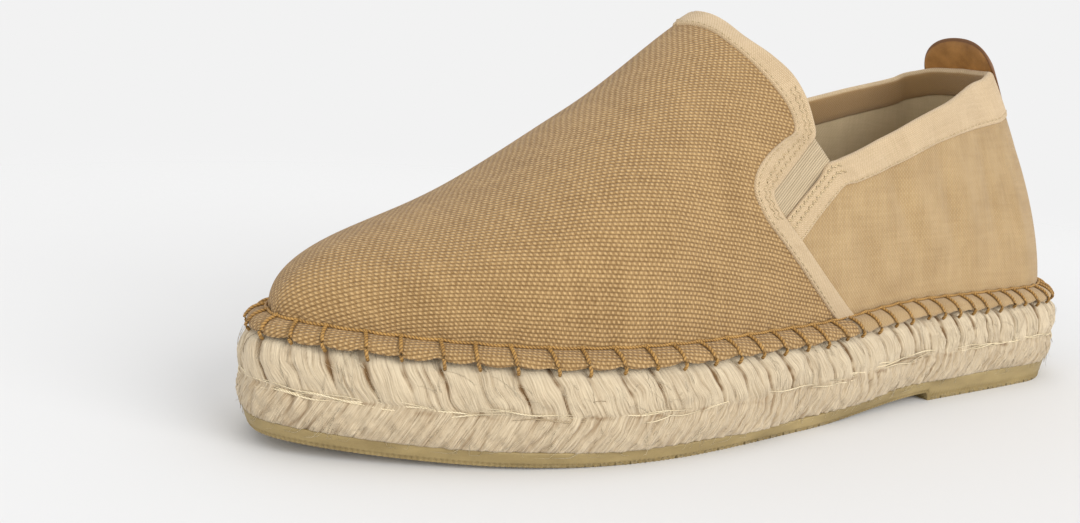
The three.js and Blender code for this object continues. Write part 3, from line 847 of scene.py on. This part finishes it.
# share at the foot of each column: cosine steps at the heel, even ones at the waist and sine steps
# at the toe, so that they lie evenly round both ends
def upperShares():
    waistFrom = 0.43
    heelCount, waistCount = int(upper["columns"] * 0.38), int(upper["columns"] * 0.22)
    toeCount = upper["columns"] - heelCount - waistCount
    heel = waistFrom * (1 - np.cos(np.linspace(0, 1, heelCount + 1) * np.pi / 2))
    waist = np.linspace(waistFrom, throatFoot, waistCount + 1)[1:]
    toe = throatFoot + (1 - throatFoot) * np.sin(np.linspace(0, 1, toeCount + 1) * np.pi / 2)[1:]
    return np.concatenate([heel, waist, toe])


# top of a column, on the topline or on the ridge: share and climb
def columnTop(side, share):
    beyond = (share - throatFoot) / (1 - throatFoot)
    to = np.where(share < throatFoot, through(topTable, 1, share), throatTop + beyond * (1 - throatTop))
    height = np.where(np.asarray(side) < 0, through(topTable, 2, share), through(topTable, 3, share))
    end = climbTo(turnOf(side, to), height)
    return to, np.where(share < throatFoot, end, 1.0)


# the seam between vamp and quarter: height, share of the length
seamLine = np.array([
    (20.0, 0.400), (31.0, 0.428), (53.5, 0.512), (60.0, 0.530),
    (66.0, 0.545), (72.0, 0.520), (80.0, 0.470), (90.0, 0.440),
])


# whether a point lies in front of the seam, which is higher on the inner side
def isVamp(side, share, z):
    rise = np.where(np.asarray(side) > 0, slotPlace["innerRise"] * ease(31, 60, z), 0.0)
    return share > np.interp(z - rise, seamLine[:, 0], seamLine[:, 1])


# the vamp laid flat: each column rolled out from the ridge, by its length, in the plan direction
# that it runs down in
def vampCloth(turn, climb):
    steps = 14
    t = np.linspace(0, 1, steps + 1)
    samples = plainSkin(turn[:, None] + 0 * t, climb[:, None] + (1 - climb[:, None]) * t)
    run = np.linalg.norm(np.diff(samples, axis=1), axis=-1).sum(1)
    footX, footY, _, _ = insetPoint(turn, shoe["creaseInset"])
    pole = poleOf(footY / shoe["length"])
    top = np.stack([through(lastTable, 2, pole), pole * shoe["length"]], -1)
    heading = unit(np.stack([footX, footY], -1) - top)
    return top + heading * run[:, None]


# the columns of both sides in one round, outer side first; the wall is the skin from the crease to
# each column's top, and columns in front of the throat meet their opposites on the ridge
def upperColumns():
    shares = upperShares()
    half = len(shares) - 1
    side = np.concatenate([np.full(half + 1, -1.0), np.full(half - 1, 1.0)])
    share = np.concatenate([shares, shares[1:-1][::-1]])
    to, end = columnTop(side, share)
    up = np.linspace(0, 1, upper["rows"] + 1)[None]
    turn = turnOf(side[:, None], share[:, None] + (to - share)[:, None] * up)
    ridgeFrom = int(np.argmax(shares >= throatFoot))
    return side, turnOf(side, share), turn, end[:, None] * up, ridgeFrom


# rim from its cut edge up over the jute to the crease, puffed by |sin| between the stitches
def upperRim(own, up, puff):
    distance = distanceAt(own)
    inset = shoe["rimInset"] + (shoe["creaseInset"] - shoe["rimInset"]) * up ** 1.15
    swell = np.sin(np.pi * up ** 0.8) * (upper["rimFull"] + upper["rimPuff"] * puff)
    rough = upper["rough"] * ripple(distance, distance * 0, 12.0, 21)[:, None]
    edge = (upper["wave"] * (puff - 0.6) + rough) * (1 - up)
    x, y, _, _ = insetPoint(own[:, None] + 0 * up, inset - swell * 0.55)
    rise = shoe["rimRise"] + (shoe["creaseRise"] - shoe["rimRise"]) * up + swell * 0.75 - edge
    return np.stack([x, y, lift(y / shoe["length"]) + rise], -1)


# point normals of a grid of quads: the sum of the face normals round each point
def gridNormals(points, quads):
    corner = points[quads]
    face = np.cross(corner[:, 3] - corner[:, 1], corner[:, 2] - corner[:, 0])
    normals = np.zeros_like(points)
    for c in range(4):
        np.add.at(normals, quads[:, c], face)
    return unit(normals)


# canvas outside and its lining at the wall's thickness inside, joined round the collar and the rim
def makeUpper():
    side, own, turn, climb, ridgeFrom = upperColumns()
    count, rimRows = len(side), upper["rimRows"]
    puff = (np.abs(np.sin(np.pi * stitchPhase(distanceAt(own)))) ** 0.7)[:, None]
    up = np.linspace(0, 1, rimRows + 1)[:-1][None]
    rim = upperRim(own, up, puff)
    wall, _ = skin(turn, climb)
    _, _, nx, ny = outline(own)
    fall = np.exp(-((np.arange(upper["rows"] + 1)[None] / upper["pinchRows"]) ** 2))
    pinch = upper["pinch"] * (1 - puff) * fall
    wall = wall - np.stack([nx, ny, 0 * nx], -1)[:, None] * pinch[..., None]
    grid = np.concatenate([rim, wall], 1)
    height = grid.shape[1]
    points = grid.reshape(-1, 3)

    ids = np.arange(count * height).reshape(count, height)
    onRidge = np.arange(count // 2 + 1, count - ridgeFrom + 1)
    ids[onRidge, -1] = ids[count - onRidge, -1]
    quads = ids.reshape(-1)[gridFaces(count, height, closeRows=True)]
    normals = gridNormals(points, quads)
    inside = points - normals * shoe["wall"]

    # the gusset lies in a shallow bed in the wall
    sides = np.repeat(side, height)
    along, across, long = slotAxes(sides, points[:, 1], points[:, 2])
    inSlot = ease(-6, -5, along) * (1 - ease(long - 1.0, long + 0.4, along))
    edge = slotPlace["width"] / 2
    inSlot = inSlot * (1 - ease(edge - 0.2, edge + 1.2, np.abs(across)))
    points = points - normals * (upper["sink"] * inSlot)[:, None]

    # cloth is the flat vamp turned to its yarns, or the distance from the heel and the height
    fullTurn = np.concatenate([np.repeat(own[:, None], rimRows, 1), turn], 1).reshape(-1)
    fullClimb = np.concatenate([np.zeros((count, rimRows)), climb], 1).reshape(-1)
    below = np.concatenate([np.repeat((1 - up) * 6.5, count, 0), 0 * climb], 1).reshape(-1)
    _, _, nx, ny = outline(fullTurn)
    vamp = vampCloth(fullTurn, fullClimb) + np.stack([nx, ny], -1) * below[:, None]
    quarter = np.stack([fromHeel(fullTurn), points[:, 2] - below * 0.3], -1)
    lining = np.stack([fromHeel(fullTurn), points[:, 2]], -1)
    front = isVamp(sides, shareOf(fullTurn), points[:, 2])
    cloth = np.concatenate([np.where(front[:, None], vamp @ np.array(vampGrain), quarter), lining])
    cloth = np.concatenate([cloth, np.zeros((len(cloth), 1))], 1)

    # numbers in the lining are those of the outside plus their total
    total = len(points)
    i = np.arange(count)
    j = (i + 1) % count
    openColumn = (i < ridgeFrom) | (i >= count - ridgeFrom)
    rimEdge = np.stack([ids[j, 0], ids[j, 0] + total, ids[i, 0] + total, ids[i, 0]], -1)
    topEdge = np.stack([ids[i, -1] + total, ids[j, -1] + total, ids[j, -1], ids[i, -1]], -1)[openColumn]
    faces = np.concatenate([quads[:, ::-1], quads + total, rimEdge, topEdge])
    which = np.concatenate([
        np.where(front[quads].all(1), 0, 1), np.full(len(quads), 2),
        np.full(len(rimEdge), 0), np.full(len(topEdge), 2),
    ])
    used, numbers = np.unique(faces, return_inverse=True)
    # on the ridge a quad can have a corner twice, and is a triangle
    faces = [list(dict.fromkeys(face)) for face in numbers.reshape(faces.shape).tolist()]
    solid = np.array([len(face) > 2 for face in faces])
    faces = [face for face in faces if len(face) > 2]
    points = np.concatenate([points, inside])[used]
    materials = [canvas, quarterCloth, liningCloth]
    piece = makePiece("canvas_upper", points, faces, materials, cloth[used], which[solid])
    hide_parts("upper")


makeUpper()
print("upper made")

# opening edge (share, height), cloth edge (share, height), extra height on the inner side, and
# whether the tape wraps over the edge to the inside; a height of 0 means on the ridge
vampTapeRows = [
    (0.5120, 0, 0.5350, 0, 0.0, 1), (0.5070, 109.8, 0.5250, 108.6, 2.1, 1),
    (0.5010, 106.6, 0.5190, 104.9, 3.2, 1), (0.4860, 102.5, 0.5080, 99.6, 2.8, 1),
    (0.4720, 97.6, 0.4970, 94.2, 2.4, 1), (0.4650, 92.0, 0.4890, 89.8, 2.6, 1),
    (0.4630, 86.3, 0.4860, 85.6, 3.1, 1), (0.4635, 81.6, 0.4890, 82.3, 3.4, 0.6),
    (0.4750, 78.6, 0.5050, 80.2, 3.4, 0), (0.5000, 73.3, 0.5320, 75.8, 3.4, 0),
    (0.5200, 69.0, 0.5500, 71.2, 3.4, 0), (0.5330, 66.0, 0.5560, 66.6, 3.4, 0),
    (0.5270, 61.6, 0.5500, 61.8, 3.4, 0), (0.5150, 57.6, 0.5400, 57.6, 3.0, 0),
    (0.4720, 45.0, 0.4960, 44.6, 1.6, 0), (0.4120, 29.0, 0.4400, 29.0, 0.0, 0),
]
quarterTapeRows = [
    (0.5190, 58.8, 0.5000, 52.6, 3.4, 0), (0.4900, 64.6, 0.4700, 59.3, 3.4, 0),
    (0.4630, 70.0, 0.4450, 64.4, 3.4, 0), (0.4480, 73.3, 0.4280, 67.6, 3.4, 0.5),
    (0.4300, 74.3, 0.4090, 68.4, 3.5, 1), (0.3980, 77.0, 0.3720, 71.1, 3.4, 1),
    (0.3600, 80.6, 0.3430, 73.6, 2.8, 1), (0.3300, 83.4, 0.3180, 75.8, 2.3, 1),
    (0.2400, 90.8, 0.2400, 81.3, 0.2, 1), (0.1750, 95.2, 0.1750, 83.8, -1.5, 1),
    (0.1240, 97.9, 0.1200, 85.2, -2.1, 1), (0.0600, 100.6, 0.0600, 87.4, -1.6, 1),
    (0.0200, 101.3, 0.0200, 88.2, -0.5, 1), (0.0, 101.5, 0.0, 88.4, 0.0, 1),
]
binding = {"thick": 0.62, "edge": 0.5, "inside": 8.5, "step": 1.1, "vampAbove": 0.12, "evened": 3}


# rows of a table to surface parameters on one side: turn and climb of both edges, and wrap
def tapeParameters(rows, side):
    rows = np.array(rows, float)
    extra = rows[:, 4] if side > 0 else 0 * rows[:, 4]
    turnA, turnB = turnOf(side, rows[:, 0]), turnOf(side, rows[:, 2])
    climbA = np.where(rows[:, 1] > 0, climbTo(turnA, rows[:, 1] + extra), 1.0)
    climbB = np.where(rows[:, 3] > 0, climbTo(turnB, rows[:, 3] + extra), 1.0)
    return np.stack([turnA, climbA, turnB, climbB, rows[:, 5]], -1)


# the same rows at even steps of their length in space, on a Hermite curve through them
def evenRows(parameters, step):
    a, _ = skin(parameters[:, 0], parameters[:, 1])
    b, _ = skin(parameters[:, 2], parameters[:, 3])
    run = np.concatenate([[0], np.cumsum(np.linalg.norm(np.diff((a + b) / 2, axis=0), axis=1))])
    places = np.linspace(0, run[-1], int(run[-1] / step) + 1)
    table = np.concatenate([run[:, None], parameters], 1)
    return np.stack([through(table, c, places) for c in range(1, parameters.shape[1] + 1)], -1), places


# cross-section of a tape: distance in from its opening edge and height over the cloth; a wrapped one
# turns over the edge as a half circle, a flat one is closed just under the cloth
def tapeProfile(width, wrap):
    thick, edge, wall = binding["thick"], binding["edge"], shoe["wall"]
    inside = min(binding["inside"], width)
    radius = wall / 2 + thick
    over = np.linspace(0, np.pi, 9)
    wrapped = [(width + 0.05, -0.5), (width, 0.02)]
    wrapped += [(width - edge * 0.3, thick * 0.75), (width - edge, thick)]
    wrapped += [(width * share, thick) for share in (0.8, 0.6, 0.4, 0.2)]
    wrapped += [(0.3 - radius * math.sin(t), radius * math.cos(t) - wall / 2) for t in over]
    wrapped += [(inside * share, -wall - thick) for share in (0.25, 0.5, 0.75, 1.0)]
    wrapped += [(inside + 0.4, -wall - thick * 0.5), (inside + 0.5, -wall + 0.4)]
    flat = wrapped[:8]
    flat += [(-0.25 * math.sin(t), thick - (thick + 0.6) * (0.5 - 0.5 * math.cos(t))) for t in over]
    flat += [(width * share, -0.7) for share in (0.15, 0.3, 0.45, 0.6)]
    flat += [(width * 0.75, -0.65), (width * 0.9, -0.6)]
    return np.array(wrapped) * wrap + np.array(flat) * (1 - wrap)


# one side's run of a tape: where each point of the cross-section lies on the skin between the two
# edges, its normal and its height; beyond the opening edge it goes straight on
def tapeRun(rows):
    a, _ = skin(rows[:, 0], rows[:, 1])
    b, _ = skin(rows[:, 2], rows[:, 3])
    width = np.linalg.norm(b - a, axis=1)
    profile = np.stack([tapeProfile(w, wrap) for w, wrap in zip(width, rows[:, 4])])
    share = profile[..., 0] / width[:, None]
    turn = rows[:, 0:1] + (rows[:, 2:3] - rows[:, 0:1]) * share
    climb = rows[:, 1:2] + (rows[:, 3:4] - rows[:, 1:2]) * share
    on, normal = skin(turn, np.clip(climb, 0.0, 1.0))
    beyond = np.minimum(share, 0.0)[..., None] * (b - a)[:, None]
    edgePoint, edgeNormal = skin(rows[:, 0:1] + 0 * turn, rows[:, 1:2] + 0 * climb)
    over = share[..., None] < 0
    return np.where(over, edgePoint + beyond, on), np.where(over, edgeNormal, normal), profile


# sweeps the cross-section along two runs, one for each side of the shoe, joined end to end
def makeTape(name, runs, above=0.0):
    parts, places, start = [], [], 0.0
    for rows, distance in runs:
        parts.append(tapeRun(rows))
        places.append(distance + start)
        start += distance[-1]
    on, normal, profile = (np.concatenate(part) for part in zip(*parts))
    run = np.concatenate(places)
    wraps = np.concatenate([rows[:, 4] for rows, _ in runs])
    # normals are evened along the tape, so it bends softly over the ridge
    for _ in range(binding["evened"]):
        padded = np.concatenate([normal[:1], normal, normal[-1:]])
        normal = unit(padded[:-2] + 2 * normal + padded[2:])
    points = on + normal * (profile[..., 1] + above)[..., None]
    # the two runs share the section in the middle
    apart = np.linalg.norm(np.diff(points[:, 4], axis=0), axis=1) > 0.05
    keep = np.concatenate([[True], apart])
    points, profile, run, wraps = points[keep], profile[keep], run[keep], wraps[keep]
    rows, columns = points.shape[:2]
    faces = gridFaces(rows, columns, closeColumns=True).tolist()
    faces += [list(range(columns))[::-1], list(range((rows - 1) * columns, rows * columns))]
    across = np.cumsum(np.linalg.norm(np.diff(profile, axis=1, prepend=profile[:, :1]), axis=-1), 1)
    inner = np.zeros_like(across)
    inner[:, 15:] = 1.0  # from half way round the fold
    cloth = np.stack(np.broadcast_arrays(run[:, None], across, inner * wraps[:, None]), -1)
    piece = makePiece(name, points.reshape(-1, 3), faces, [tapeCloth], cloth.reshape(-1, 3))
    recalculate(piece)


# a run of rows and their distances the other way round
def backwards(rows, distance):
    return rows[::-1], distance[-1] - distance[::-1]


# each tape goes round the shoe in one piece: the vamp's over the ridge, the quarters' past the heel
def makeBindings():
    step = binding["step"]
    outer, inner = (evenRows(tapeParameters(vampTapeRows, side), step) for side in (-1, 1))
    makeTape("vamp_tape", [backwards(*outer), inner], binding["vampAbove"])
    outer, inner = (evenRows(tapeParameters(quarterTapeRows, side), step) for side in (-1, 1))
    makeTape("quarter_tape", [outer, backwards(*inner)])


makeBindings()
print("tapes made")

gusset = {
    "front": 0.55, "thick": 0.75,  # depth of its front under the cloth's surface, and thickness
    "beside": 0.6, "above": 0.8, "below": 0.3,  # how far it reaches past the slot
    "along": 30, "across": 16,
}


# a sheet in the slot's own directions, along it and across it, laid under the cloth's surface: a
# few steps move each point round the shoe until it lies at its own length
def makeGusset(side, name, node):
    dy, dz = slotPlace["endY"] - slotPlace["topY"], slotPlace["endZ"] - slotPlace["topZ"]
    long = math.hypot(dy, dz)
    half = slotPlace["width"] / 2 + gusset["beside"]
    s = np.linspace(-gusset["above"], long + gusset["below"], gusset["along"])
    s, c = np.meshgrid(s, np.linspace(-half, half, gusset["across"]), indexing="ij")
    y = slotPlace["topY"] + (s * dy - c * dz) / long
    z = slotPlace["topZ"] + (s * dz + c * dy) / long + (slotPlace["innerRise"] if side > 0 else 0)
    turn = turnOf(side, y / shoe["length"])
    for _ in range(6):
        climb = climbTo(turn, z)
        point = plainSkin(turn, climb)
        turn = turnOf(side, shareOf(turn) + (y - point[..., 1]) / shoe["length"])
    on, normal = skin(turn, climbTo(turn, z))
    front = on - normal * gusset["front"]
    back = on - normal * (gusset["front"] + gusset["thick"])
    points = np.concatenate([front.reshape(-1, 3), back.reshape(-1, 3)])
    cloth = np.tile(np.stack([s, c, 0 * s], -1).reshape(-1, 3), (2, 1))
    piece = makePiece(name, points, sheetFaces(*s.shape), [elastic], cloth)
    recalculate(piece)
    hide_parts(node)


makeGusset(-1, "elastic_outer", "gusset_outer")
makeGusset(1, "elastic_inner", "gusset_inner")

tab = {
    "halfWidth": 14.5, "top": 112.0, "bottom": 78.0, "thick": 2.0,
    "power": 2.4, "round": 14.5, "lowerRound": 3.0,  # its rounded ends
    "bend": 99.0, "under": 4.0,  # height above which it runs on straight, and length that sets the slope
    "across": 44, "up": 46, "evened": 8,
}


# a place on the back of the heel at a distance across and a height, by halving
def heelPoint(x, height):
    side = np.where(x < 0, -1.0, 1.0)
    low, high = np.zeros_like(x), np.full_like(x, 0.16)
    for _ in range(20):
        middle = (low + high) / 2
        turn = turnOf(side, middle)
        narrow = np.abs(plainSkin(turn, climbTo(turn, height))[..., 0]) < np.abs(x)
        low, high = np.where(narrow, middle, low), np.where(narrow, high, middle)
    turn = turnOf(side, low)
    return plainSkin(turn, climbTo(turn, height))


# a sheet on the heel that runs on above the collar along the heel's slope; its faces draw
# together at the edge as thick sqrt(1 - edge^8)
def makeTab():
    u = np.sin(np.linspace(-1, 1, tab["across"]) * np.pi / 2)
    v = np.sin(np.linspace(-1, 1, tab["up"]) * np.pi / 2) * 0.5 + 0.5
    u, v = np.meshgrid(u, v, indexing="ij")
    arch = (1 - np.abs(u * 0.999) ** tab["power"]) ** (1 / tab["power"])
    bottom = tab["bottom"] + tab["lowerRound"] * (1 - arch)
    height = bottom + (tab["top"] - tab["round"] * (1 - arch) - bottom) * v
    low = np.minimum(height, tab["bend"])
    x = u * tab["halfWidth"]
    at = heelPoint(x, low)
    slope = (at - heelPoint(x, low - tab["under"])) / tab["under"]
    at = at + slope * (height - low)[..., None]
    for _ in range(tab["evened"]):
        at[1:-1] = (at[:-2] + 2 * at[1:-1] + at[2:]) / 4
    aside = heelPoint(x + 1, low) - heelPoint(x - 1, low)
    normal = unit(np.cross(slope, aside))
    edge = np.maximum(np.abs(u), np.abs(2 * v - 1))
    halfThick = tab["thick"] / 2 * np.sqrt(np.clip(1 - edge ** 8, 0, 1))
    middle = at - normal * (shoe["gap"] + tab["thick"] / 2)
    offset = normal * halfThick[..., None]
    points = np.concatenate([(middle - offset).reshape(-1, 3), (middle + offset).reshape(-1, 3)])
    near = ease(0.93, 1.0, edge)
    cloth = np.tile(np.stack([x, height, near], -1).reshape(-1, 3), (2, 1))
    piece = makePiece("leather_tab", points, sheetFaces(*u.shape), [leather], cloth)
    recalculate(piece)
    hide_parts("pull_tab")


makeTab()
print("gussets and tab made")


# a point of the rim and wall near the crease, and its outward direction in plan: r below 0 climbs
# the wall, 0 to 1 goes down the arched rim, and past 1 it drops on to the jute
def rimPath(distance, r):
    down = np.clip(r, 0, 1)
    arch = 0.5 * np.sin(np.pi * down)
    inset = shoe["creaseInset"] - (shoe["creaseInset"] - shoe["rimInset"]) * down
    inset = inset - arch - 0.6 * np.clip(r - 0.9, 0, 1)
    x, y, nx, ny = insetPoint(turnAt(np.mod(distance, roundLength)), inset)
    rise = shoe["creaseRise"] - (shoe["creaseRise"] - shoe["rimRise"]) * down
    rise = rise + arch - 3.4 * np.clip(r - 1, 0, None) + np.clip(-r, 0, None)
    return np.stack([x, y, lift(y / shoe["length"]) + rise], -1), nx, ny


# a leaning bar for each stitch, from the wall over the rim into the jute, and a thread along the
# crease from each stitch to the next
def makeStitches():
    own = np.random.default_rng(11)
    centre = np.interp(np.arange(stitchCount), stitchPhaseTable, roundDistance)
    centre = centre + own.uniform(-stitching["stray"], stitching["stray"], stitchCount)
    lean = stitching["lean"] * (0.5 + own.uniform(0, 0.7, stitchCount))
    s = np.linspace(0, 1, 13)[None]
    r = stitching["high"] + s * (stitching["long"] + own.uniform(-0.12, 0.25, stitchCount))[:, None]
    bow = stitching["bow"] * np.sin(np.pi * s) * own.uniform(-1, 1, stitchCount)[:, None]
    path, nx, ny = rimPath(centre[:, None] - lean[:, None] * (s - 0.2) + bow, r)
    lifted = 0.35 + 0.45 * np.sin(np.pi * s) - 0.9 * ease(0.86, 1.0, s)
    bars = path + np.stack([nx * lifted, ny * lifted, 0.35 * lifted + 0 * nx], -1)
    following = np.roll(centre, -1)
    following[-1] += roundLength
    t = np.linspace(-0.04, 1.04, 15)[None]
    a = centre[:, None] + (following - centre)[:, None] * t
    dip = stitching["crease"] + 0.22 * np.sin(np.pi * np.clip(t, 0, 1))
    path, nx, ny = rimPath(a, dip + 0 * a)
    out = 0.30 + 0.25 * np.sin(np.pi * t)
    runs = path + np.stack([nx * out, ny * out, 0 * nx + 0.15], -1)
    alongCrease = tubes(runs, stitching["run"], 7)
    alongCrease[2][:, 2] += 500  # so that these threads take other tones than the bars
    points, faces, cloth = joined(tubes(bars, stitching["thread"], 7), alongCrease)
    makePiece("blanket_stitches", points, faces, [waxedThread], cloth)


makeStitches()


# fine stitches of the tapes: radius of the thread and of the beads by the gusset, then for each row
# its share of the tape's width, pitch, length, height over the tape and zigzag
tapeStitch = {
    "thread": 0.2, "rope": 0.36, "arch": 0.16, "sunk": 0.1,
    "vampEdge": (0.86, 2.3, 1.5, 0.12, 0.0),
    "vampPair": [(0.25, 1.35, 1.1, 0.12, 0.07), (0.5, 1.35, 1.1, 0.12, 0.07)],
    "pairFrom": 0.30, "pairTo": 0.70,  # shares of the tape's length
    "quarterEdge": (0.9, 2.3, 1.5, 0.0, 0.0),
    "beads": [(0.10, 1.15, 1.35, -0.1, 0.05), (0.40, 1.15, 1.35, -0.1, 0.05)],
    "beadsTo": 31,
}


# dashes along a line at a share of the tape's width, each a small arc standing on the tape
def dashes(rows, places, share, pitch, long, over, zigzag):
    count = int((places[-1] - 2) / pitch)
    centre = 1 + np.arange(count) * pitch
    t = np.linspace(-0.5, 0.5, 5)
    s = centre[:, None] + t[None] * long
    turnA, climbA, turnB, climbB = (np.interp(s, places, rows[:, c]) for c in range(4))
    sign = np.where(np.arange(count) % 2 == 0, 1.0, -1.0)[:, None]
    own = share + zigzag * sign * t[None] * 2
    on, normal = skin(turnA + (turnB - turnA) * own, climbA + (climbB - climbA) * own)
    height = binding["thick"] + over + tapeStitch["arch"] * (1 - (t * 2) ** 2) - tapeStitch["sunk"]
    return on + normal * height[None, :, None]


# a row along the seam edge of both tapes, a pair round the gusset's corner and beads beside the slot
def makeTapeStitches():
    parts, beads = [], []
    for side in (-1, 1):
        rows, places = evenRows(tapeParameters(vampTapeRows, side), binding["step"])
        parts.append(dashes(rows, places, *tapeStitch["vampEdge"]))
        low, high = tapeStitch["pairFrom"] * places[-1], tapeStitch["pairTo"] * places[-1]
        part = (places > low) & (places < high)
        for row in tapeStitch["vampPair"]:
            parts.append(dashes(rows[part], places[part] - places[part][0], *row))
        rows, places = evenRows(tapeParameters(quarterTapeRows, side), binding["step"])
        parts.append(dashes(rows, places, *tapeStitch["quarterEdge"]))
        slot = places < tapeStitch["beadsTo"]
        for row in tapeStitch["beads"]:
            beads.append(dashes(rows[slot], places[slot], *row))
    thin = tubes(np.concatenate(parts), tapeStitch["thread"], 5)
    points, faces, cloth = joined(thin, tubes(np.concatenate(beads), tapeStitch["rope"], 6))
    makePiece("tape_stitches", points, faces, [creamThread], cloth)


makeTapeStitches()

fibres = {
    "hairs": 800, "hairSteps": 8, "hairLow": 5.0, "hairHigh": 24.0, "shortest": 3, "longest": 11,
    "heading": 1.05, "stray": 0.35, "bend": 0.8, "stand": 2.8,
    "strands": 130, "strandSteps": 20, "wander": 0.55,
}


# points of the platform's side: distance round it, rise and how far out
def braidPath(a, r, out):
    turn = turnAt(np.mod(a, roundLength))
    x, y, _, _ = insetPoint(turn, through(braidTable, 1, r) - out)
    return np.stack([x, y, lift(y / shoe["length"]) + r], -1)


# hairs that lie on the jute, a few of them standing out, and flat strands that wander along the
# groove between its two rows
def makeFibres():
    own = np.random.default_rng(5)
    count, steps = fibres["hairs"], fibres["hairSteps"]
    t = np.linspace(0, 1, steps)[None]
    start = own.uniform(0, roundLength, count)[:, None]
    rise = own.uniform(fibres["hairLow"], fibres["hairHigh"], count)[:, None]
    long = own.uniform(fibres["shortest"], fibres["longest"], count)[:, None]
    heading = own.normal(fibres["heading"], fibres["stray"], count)[:, None]
    angle = heading + own.normal(0, fibres["bend"], count)[:, None] * t
    a = start + long * np.cumsum(np.cos(angle), 1) / steps
    hand = np.where(rise > braid["groove"], 1.0, -1.0)
    r = np.clip(rise + hand * long * np.cumsum(np.sin(angle), 1) / steps, 3.2, 25.0)
    out = own.uniform(0.0, 1.0, count)[:, None] ** 6 * fibres["stand"] * t + 0.12
    hairs = tubes(braidPath(a, r, out), own.uniform(0.04, 0.08, count)[:, None] * (1 - 0.6 * t), 3)
    count, steps = fibres["strands"], fibres["strandSteps"]
    t = np.linspace(0, 1, steps)[None]
    a = own.uniform(0, roundLength, count)[:, None] + own.uniform(9, 26, count)[:, None] * t
    r = braid["groove"] + own.normal(0, fibres["wander"], count)[:, None]
    r = r + own.normal(0, 0.035, count)[:, None] * 20 * t
    r = r + 0.35 * np.sin(a * 0.35 + own.uniform(0, 6, count)[:, None])
    path = braidPath(a, r, 0.30 * np.sin(np.pi * t) - 0.1)
    radius = own.uniform(0.10, 0.26, count)[:, None] * np.sin(np.pi * (0.06 + 0.88 * t))
    points, faces, cloth = joined(hairs, tubes(path, radius, 4))
    makePiece("loose_fibres", points, faces, [fibreThread], cloth)


makeFibres()
print("stitches and fibres made")

room = {
    "floor": 0.762, "half": 8.0, "fadeFrom": 0.30, "fadeTo": 0.62, "walls": 0.888,
    # name, heading, elevation, strength, spread
    "suns": [
        ("key", 284.0, 23.0, 2.0, 45.0), ("front", 195.0, 7.0, 0.90, 50.0),
        ("top", 70.0, 72.0, 0.06, 20.0),
    ],
}


# a pale floor that fades into an even background as the distance from its middle grows
def makeStage():
    half = room["half"]
    corners = [(-half, -half, 0), (half, -half, 0), (half, half, 0), (-half, half, 0)]
    mesh = bpy.data.meshes.new("floor")
    mesh.from_pydata(corners, [], [(0, 1, 2, 3)])
    floor = bpy.data.objects.new("floor", mesh)
    bpy.context.scene.collection.objects.link(floor)
    material, ground, shader = startMaterial("pale_floor", 0.9)
    shader.inputs["Base Color"].default_value = (*[room["floor"]] * 3, 1)
    shader.inputs["Specular IOR Level"].default_value = 0.0
    x, y, _ = ground.add("ShaderNodeTexCoord", None, None, 3).axes()
    away = (x * x + y * y) ** 0.5
    ground.tree.links.new(away.between(room["fadeTo"], room["fadeFrom"]).socket, shader.inputs["Alpha"])
    mesh.materials.append(material)
    world = bpy.data.worlds.new("room")
    bpy.context.scene.world = world
    world.use_nodes = True
    background = world.node_tree.nodes["Background"]
    background.inputs["Color"].default_value = (*[room["walls"]] * 3, 1)
    background.inputs["Strength"].default_value = 1.0


# a broad sun; heading is from behind the heel, 90 the inner side and 270 the outer one
def addSun(name, heading, elevation, strength, spread):
    lamp = bpy.data.lights.new(name, "SUN")
    lamp.energy, lamp.angle = strength, math.radians(spread)
    holder = bpy.data.objects.new(name, lamp)
    a, e = math.radians(heading), math.radians(elevation)
    back = Vector((math.sin(a) * math.cos(e), -math.cos(a) * math.cos(e), math.sin(e)))
    holder.rotation_mode = "QUATERNION"
    holder.rotation_quaternion = (-back).to_track_quat("-Z", "Y")
    bpy.context.scene.collection.objects.link(holder)


# target is in the shoe's own millimetres; drop is the camera's vertical shift
view = {
    "lens": 40.53, "azimuth": 33.67, "elevation": 8.56, "roll": 4.22, "distance": 376.4,
    "target": (34.67, 184.43, 52.40), "drop": -0.0541,
}


# looks at the outer side, turned forward by the azimuth; the roll turns right and up together
def makeCamera():
    a, e, r = (math.radians(view[key]) for key in ("azimuth", "elevation", "roll"))
    back = Vector((-math.cos(a) * math.cos(e), math.sin(a) * math.cos(e), math.sin(e)))
    right = (-back).cross(Vector((0, 0, 1))).normalized()
    up = right.cross(-back)
    right, up = right * math.cos(r) + up * math.sin(r), up * math.cos(r) - right * math.sin(r)
    place = (Vector(view["target"]) + back * view["distance"] - Vector(plan)) * millimetre
    camera = bpy.data.objects.new("camera", bpy.data.cameras.new("camera"))
    camera.data.lens, camera.data.sensor_width = view["lens"], 36.0
    camera.data.shift_y = view["drop"]
    camera.data.clip_start, camera.data.clip_end = 0.01, 50.0
    camera.matrix_world = Matrix.Translation(place) @ Matrix((right, up, back)).transposed().to_4x4()
    bpy.context.scene.collection.objects.link(camera)
    bpy.context.scene.camera = camera


makeStage()
for sun in room["suns"]:
    addSun(*sun)
makeCamera()
bpy.context.scene.view_settings.view_transform = "Standard"
print("stage made")
